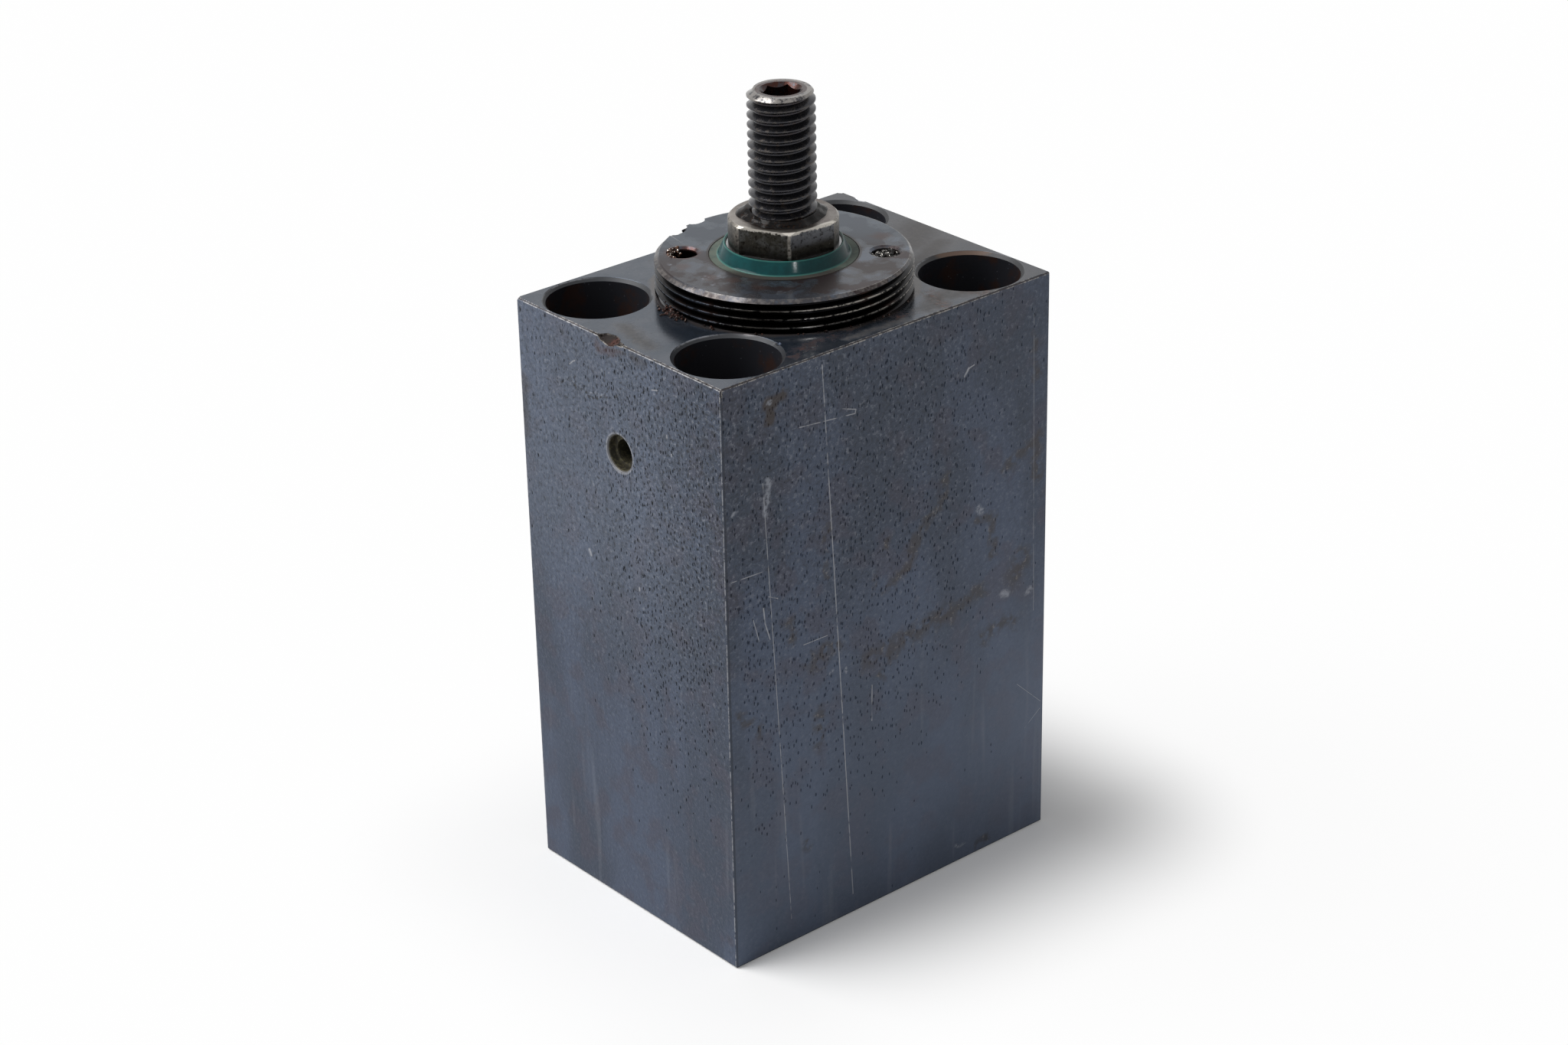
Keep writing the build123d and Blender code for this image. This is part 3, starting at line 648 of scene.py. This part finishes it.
# Turned steel, left from the lathe and browned by use: its face is oily and mirrors the rod, it is
# black and wet in the thread, and its crests are bright where they rub and under a painted
# highlight
turned_steel, tree, shader, place = new_finish("browned_turned_steel")
across, through, up, radius = split(tree, place)
blotch = add(tree, "TexNoise", {"Vector": place, "Scale": 1 / 6.5, "Detail": 5, "Roughness": 0.55})
grime = add(tree, "TexNoise", {"Vector": place, "Scale": 1 / 1, "Detail": 4, "Roughness": 0.7})
ragged = swirled(tree, place, 2.0, 2.4)
to_right = add(tree, "Math", {0: across, 1: 0.7, 2: through}, operation="MULTIPLY_ADD")
# The face is darker towards the left, and a painted bluish sheen lies towards its back right
colour = lay(
    tree, "#41444c",
    ("#2a1e20", (blotch, 0.49, 0.53)),
    ("#565f6d", (blotch, 0.45, 0.41), 0.85),
    ("#2a2526", (across, -4, -16), 0.45),
    ("#414a54", (to_right, -4, 10), 0.8),
    ("#66605d", (grime, 0.62, 0.76), 0.3),
    ("#241e1c", (grime, 0.38, 0.26), 0.4),
)

# Its face has dark and pale patches, and rust and scraped steel round the pin holes
gland_face = (2, gland_top)
stains = [
    ((-17.0, 6.6), 1.5), ((-16.8, -0.5), 1.5), ((-14.6, -4.3), 1.4), ((-14.0, -9.5), 1.6),
    ((17.0, -6.0), 2.0),
]
flecks = [
    ((-18.1, 8.8), 0.8), ((-17.6, 0.3), 0.8), ((-15.2, -1.4), 0.9), ((-18.4, -3.2), 0.7),
    ((-12.6, -13.8), 0.9),
]
shaded = marks(tree, ragged, on_face(*gland_face, [((-7.0, -16.5), (9.0, -17.0), 5.5)]), 0.95)
stained = marks(tree, ragged, on_face(*gland_face, stains, 1.3), 0.8)
flecked = marks(tree, ragged, on_face(*gland_face, flecks, 1.3), 0.8)
left_pin = (math.cos(pin_angle) * pin_circle, math.sin(pin_angle) * pin_circle, gland_top)
right_pin = (-left_pin[0], -left_pin[1], gland_top)
round_left_pin = marks(tree, place, [(left_pin, 3.8)], 0.4)
round_right_pin = marks(tree, place, [(right_pin, 3.9)], 0.6)
mouth = where(tree, (radius, 13.6, 13.35), (up, 116.7, 116.8))
band = where(tree, (radius, 21.75, 21.85), (up, 116.2, 116.35))
band_tint = lay(tree, "#383433", ("#625d5a", (grime, 0.44, 0.6)))
edge_line = where(tree, (radius, 21.62, 21.72), (radius, 21.84, 21.76), (up, 116.9, 116.95))
colour = lay(
    tree, colour,
    ("#2b2625", shaded, 0.6),
    ("#3b2723", stained, 0.75),
    ("#8b919c", flecked, (grime, 0.42, 0.6), 0.6),
    ("#4a2c25", round_left_pin, (grime, 0.3, 0.6)),
    ("#5d5350", round_right_pin, (grime, 0.36, 0.6), 0.7),
    ("#1e1512", mouth, 0.85),
    (band_tint, band, (grime, 0.36, 0.48), 0.7),
    ("#8a8784", edge_line, (grime, 0.38, 0.55), 0.6),
)

# The thread is black, its crests are rubbed to steel and carry a painted highlight that is
# brightest towards the front, and what the block hides is cleaner
in_thread = where(tree, (up, 116.33, 116.25))
thread_tint = lay(tree, "#0c0b0d", ("#33211a", (blotch, 0.56, 0.7), 0.5))
crest = where(tree, (radius, 22.38, 22.46), (up, 111.0, 111.6))
crest_wear_and_highlight = lay(tree, "#4b515b", ("#85817b", (through, -4, -14)))
in_pin_hole = where(tree, (up, 116.5, 116.2), (radius, 21.0, 20.8), (up, 111.9, 112.1))
colour = lay(
    tree, colour,
    (thread_tint, in_thread),
    (crest_wear_and_highlight, in_thread, crest, (grime, 0.4, 0.54), 0.85),
    ("#1a1614", in_pin_hole),
    ("#5d5d5f", (up, 111.0, 110.6), 0.85),
)
feed = add(tree, "Math", {0: radius, 1: 2 * math.pi / 0.35}, operation="MULTIPLY")
lathe = add(tree, "Math", {0: feed}, operation="SINE")
relief = add(tree, "Math", {0: grime, 1: 0.014}, operation="MULTIPLY")
relief = add(tree, "Math", {0: lathe, 1: 0.0012, 2: relief}, operation="MULTIPLY_ADD")
plug(tree, shader, {
    "Base Color": colour,
    "Metallic": lay(tree, 0.55, (0.9, in_thread)),
    "Specular IOR Level": 0.3,
    "Roughness": lay(tree, 0.22, (0.36, (blotch, 0.44, 0.54)), (0.2, in_thread)),
    "Normal": add(tree, "Bump", {"Height": relief, "Distance": mm, "Strength": 0.6}),
})
gland.data.materials.append(turned_steel)
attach(gland, "housing")
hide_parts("gland")


# Rings in the gland's grooves: black nitrile rubber, moulded, with a faint bloom, and the
# rod seal of dark green cast polyurethane
def moulded(name, base, bloom, gloss, bloom_size):
    """Moulded rubber or plastic: an even colour under a thin, cloudy film of oil and dust."""
    finish, tree, shader, place = new_finish(name)
    film = add(tree, "TexNoise", {"Vector": place, "Scale": 1 / bloom_size, "Detail": 4})
    fine = add(tree, "TexNoise", {"Vector": place, "Scale": 1 / 0.25})
    plug(tree, shader, {
        "Base Color": lay(tree, base, (bloom, (film, 0.45, 0.7))),
        "Roughness": lay(tree, gloss, (gloss + 0.2, (film, 0.4, 0.7))),
        "Normal": add(tree, "Bump", {"Height": fine, "Distance": 0.01 * mm, "Strength": 0.5}),
    })
    return finish


nitrile = moulded("nitrile_rubber", "#161617", "#262627", 0.4, 2.5)
cast_green = moulded("cast_polyurethane_seal", "#1d4a41", "#2c5e54", 0.32, 3.0)
guide_bronze_plastic = moulded("bronze_filled_guide_strip", "#5a4a36", "#6d5b44", 0.4, 1.2)
backup_white = moulded("backup_ring_plastic", "#c9c6bb", "#b9b4a6", 0.38, 2.0)


def dress(node, finish):
    """Gives a CAD node, whose shape is right, its finish."""
    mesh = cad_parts[node].data
    mesh.materials.clear()
    mesh.materials.append(finish)


for ring in ("rod_seal_filler_ring", "gland_seal_ring", "spigot_seal_ring", "glide_pressing_ring"):
    dress(ring, nitrile)
dress("rod_seal", cast_green)
for ring in ("rod_seal_backup_ring", "gland_backup_ring", "nut_locking_ring"):
    dress(ring, backup_white)
for strip in ("upper_rod_guide", "lower_rod_guide", "upper_piston_guide", "lower_piston_guide",
              "piston_glide_ring"):
    dress(strip, guide_bronze_plastic)


# Wiper: cast green polyurethane, snapped into the gland's mouth. Its flat collar is dusty,
# and its steep cone is glossy and ends in a thin lip on the rod.
wiper_profile = [
    (10.60, 110.80), (14.28, 110.80), (14.30, 111.00), (14.30, 115.90), (14.28, 116.10),
    (13.06, 116.10), (13.04, 116.92), (12.96, 116.99), (11.72, 116.99), (11.60, 117.03),
    (11.50, 117.14), (11.26, 117.50), (10.52, 119.10), (10.42, 119.27), (10.28, 119.30),
    (10.05, 119.12), (10.05, 118.15), (10.60, 115.85),
]


def spun_ring(name, profile, steps):
    """A closed section, drawn from one point round to itself, and spun about the rod's axis."""
    bpy.ops.mesh.primitive_plane_add(size=mm)
    ring = bpy.context.object
    ring.name = name
    bpy.ops.object.mode_set(mode="EDIT")
    bpy.ops.mesh.merge(type="CENTER")
    start = Vector((profile[0][0], 0, profile[0][1])) * mm
    bpy.ops.transform.translate(value=start)
    for (r, z), (next_r, next_z) in zip(profile, profile[1:]):
        bpy.ops.mesh.extrude_vertices_move(
            TRANSFORM_OT_translate={"value": ((next_r - r) * mm, 0, (next_z - z) * mm)})
    bpy.ops.object.mode_set(mode="OBJECT")
    pick(ring, "VERT", lambda point: point.index in (0, len(profile) - 1))
    bpy.ops.mesh.edge_face_add()
    bpy.ops.mesh.select_all(action="SELECT")
    bpy.ops.mesh.spin(steps=steps, angle=2 * math.pi, center=(0, 0, 0), axis=(0, 0, 1))
    bpy.ops.mesh.select_all(action="SELECT")
    bpy.ops.mesh.remove_doubles(threshold=weld)
    bpy.ops.mesh.normals_make_consistent(inside=False)
    bpy.ops.object.mode_set(mode="OBJECT")
    return ring


wiper = spun_ring("green_wiper", wiper_profile, 128)
smooth(wiper, 35)
wiper_green, tree, shader, place = new_finish("cast_polyurethane_wiper")
across, through, up, radius = split(tree, place)
dusty = add(tree, "TexNoise", {"Vector": place, "Scale": 1 / 2.4, "Detail": 5, "Roughness": 0.65})
collar = where(tree, (radius, 11.45, 11.75), (up, 117.12, 117.02))
foot_line = where(tree, (up, 117.26, 117.14), (radius, 11.72, 11.6))
facing = add(tree, "Math", {0: across, 1: 0.85, 2: through}, operation="MULTIPLY_ADD")
film = lay(
    tree, "#5f665d",
    ("#4b544e", (dusty, 0.45, 0.6)),
    ("#352c28", (facing, -9.0, -13.0), 0.9),
)
colour = lay(
    tree, "#07393b",
    ("#0a4547", (dusty, 0.35, 0.7)),
    (film, collar, 0.9),
    ("#5f9c8f", foot_line, 0.3),
    ("#5fa596", (up, 119.08, 119.2), 0.22),
    ("#241a16", (radius, 12.82, 12.95), 0.8),
)
plug(tree, shader, {
    "Base Color": colour,
    "Roughness": lay(tree, 0.13, (0.6, collar)),
    "IOR": 1.5,
    "Specular IOR Level": 0.12,
    "Subsurface Weight": 0.05,
    "Subsurface Radius": (0.2, 1.0, 0.8),
    "Subsurface Scale": 1.0 * mm,
    "Normal": add(tree, "Bump", {"Height": dusty, "Distance": 0.02 * mm, "Strength": 0.5}),
})
wiper.data.materials.append(wiper_green)
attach(wiper, "housing")
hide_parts("rod_wiper")


# Piston rod: hardened, ground and polished, with a relieved neck that is left as turned and
# two milled flats for a spanner. The neck is stained, and its top edge is worn and nicked.
# The grinder's lines run round the shaft, drawn some ten times as coarse as they are.
neck_bottom = 118.9
flat_distance = 8.5
flat_angles = (-155, -95)
polished_steel, tree, shader, place = new_finish("polished_rod_steel")
across, through, up, radius = split(tree, place)
blotch = add(tree, "TexNoise", {"Vector": place, "Scale": 1 / 2.6, "Detail": 6, "Roughness": 0.68})
fleck = add(tree, "TexNoise", {"Vector": place, "Scale": 1 / 0.7, "Detail": 4, "Roughness": 0.7})
ground = add(tree, "VectorMath", {0: place, 1: (0.05, 0.05, 1)}, operation="MULTIPLY")
polish = add(tree, "TexNoise", {"Vector": ground, "Scale": 1 / 0.4, "Detail": 3})
shaft = lay(tree, "#a9abae", ("#b9bbbe", (polish, 0.3, 0.7)))
toward = []
for angle in flat_angles:
    outward = (math.cos(math.radians(angle)), math.sin(math.radians(angle)), 0)
    toward.append(add(tree, "VectorMath", {0: place, 1: outward}, operation="DOT_PRODUCT"))
nearer = add(tree, "Math", {0: toward[0], 1: toward[1]}, operation="MAXIMUM")
on_flat = where(tree, (nearer, flat_distance - 0.12, flat_distance - 0.03))
painted_corner_reflection = where(tree, (toward[0], 8.05, 8.3), (toward[1], 8.05, 8.3))
worn_down = add(tree, "Math", {0: fleck, 1: 1.6, 2: up}, operation="MULTIPLY_ADD")
near_flat = where(tree, (nearer, 7.6, 8.2))
flat_tint = lay(tree, "#35332e", ("#4a4a48", (blotch, 0.46, 0.6)))
reach = add(tree, "Math", {0: blotch, 1: 2.6, 2: radius}, operation="MULTIPLY_ADD")
# The end face is lighter towards the left, a painted sheen
end_face = lay(
    tree, "#75706b",
    ("#5d544f", (blotch, 0.42, 0.62)),
    ("#a59f98", (across, -2, -7), 0.5),
    ("#2c1a10", (reach, 9.3, 8.3), 0.9),
)
neck = lay(
    tree, "#6b6862",
    ("#827d76", (blotch, 0.42, 0.58)),
    (flat_tint, on_flat),
    # The upper half of the right flat has a painted bluish sheen
    ("#626469", (toward[1], 8.38, 8.47), (up, 120.4, 122.0), 0.7),
    ("#16120f", (fleck, 0.5, 0.34), 0.85),
    ("#8e8a83", (fleck, 0.62, 0.76), 0.5),
    ("#1a1613", (up, 121.4, 119.4), (blotch, 0.34, 0.52), 0.85),
    # A painted reflection runs up the corner between the flats
    ("#7d7a74", painted_corner_reflection, (fleck, 0.4, 0.56), 0.5),
    (end_face, (up, 123.93, 123.97)),
    ("#c2bdb4", (worn_down, 124.25, 124.5), (radius, 8.1, 8.4), near_flat, 0.9),
)
on_neck = where(tree, (up, neck_bottom - 0.02, neck_bottom + 0.02))
relief = add(tree, "Math", {0: fleck, 1: on_neck}, operation="MULTIPLY")
plug(tree, shader, {
    "Base Color": lay(tree, shaft, (neck, on_neck)),
    "Metallic": 0.95,
    "Roughness": lay(tree, 0.14, (0.34, on_neck)),
    "Normal": add(tree, "Bump", {"Height": relief, "Distance": 0.05 * mm, "Strength": 0.7}),
})
dress("piston_rod", polished_steel)


# Piston and its nut: turned from bar and oiled, so they are plain grey metal with fine lathe rings
def turned(name, base, stain, ring_pitch):
    """Turned and oiled steel: fine rings from the lathe under a patchy film."""
    finish, tree, shader, place = new_finish(name)
    _, _, up, radius = split(tree, place)
    film = add(tree, "TexNoise", {"Vector": place, "Scale": 1 / 5, "Detail": 4})
    feed = add(tree, "Math", {0: up, 1: radius})
    feed = add(tree, "Math", {0: feed, 1: 2 * math.pi / ring_pitch}, operation="MULTIPLY")
    rings = add(tree, "Math", {0: feed}, operation="SINE")
    filmed = where(tree, (film, 0.4, 0.65))
    plug(tree, shader, {
        "Base Color": lay(tree, base, (stain, filmed)),
        "Metallic": 1.0,
        "Roughness": lay(tree, 0.3, (0.42, filmed)),
        "Normal": add(tree, "Bump", {"Height": rings, "Distance": 0.002 * mm, "Strength": 0.6}),
    })
    return finish


dress("piston", turned("turned_piston_steel", "#8f9091", "#7b7a77", 0.25))
dress("piston_nut", turned("zinc_plated_nut", "#a3a39c", "#8b8878", 0.4))


# Threaded stud: an M12 x 1.75 socket set screw of alloy steel, rolled and blackened, and
# screwed into the rod. It is wet with black oil, and rust has started in its socket.
stud_radius = 5.9
stud_top = 146.5
stud_bottom = 106.5
stud_pitch = 1.75
socket_width = 6.0
bpy.ops.mesh.primitive_cylinder_add(
    vertices=96, radius=stud_radius * mm, depth=(stud_top - stud_bottom) * mm,
    location=(0, 0, (stud_top + stud_bottom) / 2 * mm))
stud = bpy.context.object
stud.name = "socket_set_screw"
bpy.ops.object.transform_apply()
heights = [point.co.z for point in stud.data.vertices]
pick(stud, "EDGE", lambda edge: abs(heights[edge.vertices[0]] - heights[edge.vertices[1]]) < weld)
bpy.ops.mesh.bevel(offset=0.9 * mm, offset_type="WIDTH", segments=1)
bpy.ops.object.mode_set(mode="OBJECT")
cut_away(stud, thread_cutter(stud_pitch, stud_radius, start=103.78, turns=26, steps=72))
bpy.ops.mesh.primitive_cylinder_add(
    vertices=6, radius=socket_width / math.sqrt(3) * mm, depth=13.0 * mm,
    location=(0, 0, stud_top * mm))
bpy.ops.object.transform_apply()
cut_away(stud, bpy.context.object)
bpy.ops.mesh.primitive_cone_add(
    vertices=64, radius1=2.65 * mm, radius2=4.75 * mm, depth=2.1 * mm,
    location=(0, 0, (stud_top - 0.05) * mm))
bpy.ops.object.transform_apply()
cut_away(stud, bpy.context.object)
smooth(stud)

blackened, tree, shader, place = new_finish("blackened_oily_screw")
_, _, up, radius = split(tree, place)
grime = add(tree, "TexNoise", {"Vector": place, "Scale": 1 / 1, "Detail": 5, "Roughness": 0.7})
on_crest = where(tree, (radius, 5.80, 5.88), (grime, 0.40, 0.58))
in_socket = where(tree, (radius, 4.9, 4.6), (up, 139.0, 140.0), (grime, 0.34, 0.55))
on_end = where(tree, (up, 145.5, 145.7), (radius, 4.3, 4.6), (grime, 0.34, 0.5))
colour = lay(
    tree, "#343438",
    ("#423c37", (grime, 0.5, 0.7)),
    ("#4f4b48", on_crest, 0.7),
    ("#341a13", in_socket),
    ("#8a8682", on_end, 0.85),
)
plug(tree, shader, {
    "Base Color": colour,
    "Metallic": 0.75,
    "Specular IOR Level": 0.4,
    "Roughness": lay(tree, 0.16, (0.4, (grime, 0.45, 0.7))),
    "Normal": add(tree, "Bump", {"Height": grime, "Distance": 0.05 * mm, "Strength": 0.6}),
})
stud.data.materials.append(blackened)
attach(stud, "rod")
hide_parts("threaded_stud")


# Grease at the stud's foot: black, thick and wet, squeezed out of the joint in a ring that
# swells into two lumps
grease_profile = [
    (5.2, 123.97), (7.3, 123.97), (7.1, 124.12), (6.7, 124.3), (6.35, 124.6), (6.1, 124.95),
    (5.2, 125.0),
]
grease = spun_ring("grease_at_stud_foot", grease_profile, 96)
for point in grease.data.vertices:
    x, y, z = point.co / mm
    around = math.atan2(y, x)
    reach = math.hypot(x, y)
    swell = 0.25 * math.sin(3 * around + 1) + 0.18 * math.sin(7 * around + 2)
    swell += 0.1 * math.sin(13 * around)
    for lump_angle, lump_size in ((math.radians(128.7), 1.0), (math.radians(-27.2), 0.9)):
        turn = math.remainder(around - lump_angle, 2 * math.pi)
        swell += lump_size * math.exp(-(turn / 0.28) ** 2)
    if reach > 5.9:
        share = min(1.0, (reach - 5.9) / 0.8)
        grown = 1 + swell * share / reach
        point.co.x *= grown
        point.co.y *= grown
        if z > 124.0:
            point.co.z += max(0.0, swell) * 0.45 * mm * min(1.0, z - 124.0 + 0.3)
smooth(grease, 60)
black_grease, tree, shader, place = new_finish("black_grease")
lumps = add(tree, "TexNoise", {"Vector": place, "Scale": 1 / 0.6, "Detail": 4})
plug(tree, shader, {
    "Base Color": lay(tree, "#0d0b0b", ("#1f130c", (lumps, 0.48, 0.66))),
    "Roughness": 0.12,
    "IOR": 1.48,
    "Specular IOR Level": 0.09,
    "Normal": add(tree, "Bump", {"Height": lumps, "Distance": 0.06 * mm, "Strength": 0.7}),
})
grease.data.materials.append(black_grease)
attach(grease, "rod")


# Grit, swarf and rust flakes: one pin hole is packed with it, the other has some on its
# far wall, and more lies in a heap at the gland's foot
def grains(name, spots, seed):
    """Many small angular grains, each turned and sized its own way, joined into one piece."""
    chance = random.Random(seed)
    bpy.ops.mesh.primitive_ico_sphere_add(subdivisions=1, radius=0.5 * mm)
    grain_made = bpy.context.object
    pick(grain_made)
    bpy.ops.transform.vertex_random(offset=0.16 * mm, uniform=1.0, seed=seed)
    bpy.ops.object.mode_set(mode="OBJECT")
    made = []
    for place_mm, size in spots:
        one = bpy.data.objects.new(name, grain_made.data.copy())
        bpy.context.scene.collection.objects.link(one)
        one.location = [c * mm for c in place_mm]
        one.rotation_euler = [chance.uniform(0, 6.28) for _ in range(3)]
        one.scale = [size * chance.uniform(0.6, 1.2) for _ in range(3)]
        made.append(one)
    bpy.data.objects.remove(grain_made)
    alone(made[0])
    for one in made:
        one.select_set(True)
    bpy.ops.object.join()
    bpy.ops.object.transform_apply()
    made[0].name = name
    return made[0]


def dirt(name, base, tint, speck, share):
    """Dirt whose grains differ: most are dark, some brown, and a few bright."""
    finish, tree, shader, place = new_finish(name)
    each = add(tree, "TexVoronoi", {"Vector": place, "Scale": 1 / 0.55}, out="Color")
    fine = add(tree, "TexNoise", {"Vector": place, "Scale": 1 / 0.35, "Detail": 3})
    bright = where(tree, (fine, share, share + 0.06))
    plug(tree, shader, {
        "Base Color": lay(tree, base, (tint, (each, 0.4, 0.8)), (speck, bright)),
        "Metallic": bright,
        "Roughness": 0.32,
        "Specular IOR Level": 0.2,
        "Normal": add(tree, "Bump", {"Height": fine, "Distance": 0.08 * mm, "Strength": 0.6}),
    })
    return finish


chance = random.Random(11)
packed = []
packed_count = 150
while len(packed) < packed_count:
    away = 2.55 * math.sqrt(chance.random())
    turn = chance.uniform(0, 2 * math.pi)
    x = right_pin[0] + away * math.cos(turn)
    y = right_pin[1] + away * math.sin(turn)
    z = 116.35 - 0.06 * away ** 2 + chance.uniform(-0.3, 0.25)
    packed.append(((x, y, z), chance.uniform(0.5, 1.1)))
grit = grains("grit_in_pin_hole", packed, 4)
smooth(grit, 80)
grit.data.materials.append(dirt("black_grit", "#0b0a0a", "#1d1613", "#e4e0d8", 0.57))
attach(grit, "housing")

flaked = []
flaked_count = 60
while len(flaked) < flaked_count:
    turn = pin_angle + chance.uniform(-1.3, 1.3)
    deep = chance.random() ** 2 * 1.6
    away = 2.5 + (0.35 - deep if deep < 0.35 else 0.0) - chance.uniform(0.0, 0.3)
    x = left_pin[0] + away * math.cos(turn)
    y = left_pin[1] + away * math.sin(turn)
    flaked.append(((x, y, 116.95 - deep), chance.uniform(0.35, 0.8)))
flakes = grains("rust_flakes_in_pin_hole", flaked, 6)
flakes.data.materials.append(dirt("rust_flakes", "#40291f", "#75523f", "#e0dbd2", 0.54))
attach(flakes, "housing")

fallen = []
fallen_count = 135
while len(fallen) < fallen_count:
    heap = chance.random() < 0.85
    turn = math.radians(chance.gauss(174, 3.5) if heap else chance.uniform(-190, -60))
    away = 22.75 + abs(chance.gauss(0, 0.8 if heap else 0.25))
    lift = max(0.0, 1.2 - (away - 22.7)) * chance.random() ** 2 if heap else 0.0
    x = away * math.cos(turn)
    y = away * math.sin(turn)
    fallen.append(((x, y, 111.12 + lift), chance.uniform(0.3, 0.7)))
debris = grains("debris_at_gland_foot", fallen, 9)
debris.data.materials.append(dirt("rusty_debris", "#170f0d", "#40241c", "#a89c8c", 0.66))
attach(debris, "housing")


# Floor, backdrop and lamps: a white sweep and one broad window high on the far left. A
# narrow strip beside the camera shows only as glints on what is wet. Camera, glossy and
# clear rays see plain white beyond the floor.
scene = bpy.context.scene
scene.view_settings.view_transform = "Standard"
bpy.ops.mesh.primitive_plane_add(size=6.0)
floor = bpy.context.object
floor.name = "floor"
paper = bpy.data.materials.new("white_paper")
paper.use_nodes = True
world = bpy.data.worlds.new("studio")
scene.world = world
world.use_nodes = True
shown = {}
for tree in (paper.node_tree, world.node_tree):
    shown[tree] = 0.0
    for kind in ("Camera", "Glossy", "Transmission"):
        ray = add(tree, "LightPath", out=f"Is {kind} Ray")
        shown[tree] = add(tree, "Math", {0: ray, 1: shown[tree]}, operation="MAXIMUM")
tree = paper.node_tree
tree.nodes.remove(tree.nodes["Principled BSDF"])
away = add(tree, "VectorMath", {0: add(tree, "TexCoord", out="Object")}, operation="ABSOLUTE")
foot = (block_half_width * mm, block_half_depth * mm, 0)
away = add(tree, "VectorMath", {0: away, 1: foot}, operation="SUBTRACT")
away = add(tree, "VectorMath", {0: away, 1: (0, 0, 0)}, operation="MAXIMUM")
away = add(tree, "VectorMath", {0: away}, operation="LENGTH")
fade = where(tree, (away, 0.0, 0.045))
fade = add(tree, "Math", {0: fade, 1: 0.8, 2: 0.12}, operation="MULTIPLY_ADD")
fade = add(tree, "Math", {0: shown[tree], 1: fade}, operation="MULTIPLY")
grey = add(tree, "BsdfDiffuse", {"Color": "#f2f2f2"})
white = add(tree, "Emission", {"Color": (1, 1, 1, 1)})
whole = add(tree, "MixShader", {0: fade, 1: grey, 2: white})
plug(tree, tree.nodes["Material Output"], {"Surface": whole})
floor.data.materials.append(paper)
tree = world.node_tree
daylight = lay(tree, 0.25, (1.0, shown[tree]))
plug(tree, tree.nodes["Background"], {"Color": (1, 1, 1, 1), "Strength": daylight})

bpy.ops.object.light_add(type="SUN", location=(-1.0, 0.8, 1.5))
window = bpy.context.object
window.name = "window_light"
window.data.energy = 3.3
window.data.angle = math.radians(46)
bpy.ops.object.light_add(type="AREA", location=(-0.36, -1.0, 0.66))
strip = bpy.context.object
strip.name = "strip_light"
strip.data.shape = "RECTANGLE"
strip.data.size = 0.08
strip.data.size_y = 0.30
strip.data.energy = 4.0
strip.visible_diffuse = False
for lamp, aim in ((window, (0, 0, 0)), (strip, (0, 0, 0.12))):
    lamp.rotation_euler = (Vector(aim) - lamp.location).to_track_quat("-Z", "Y").to_euler()
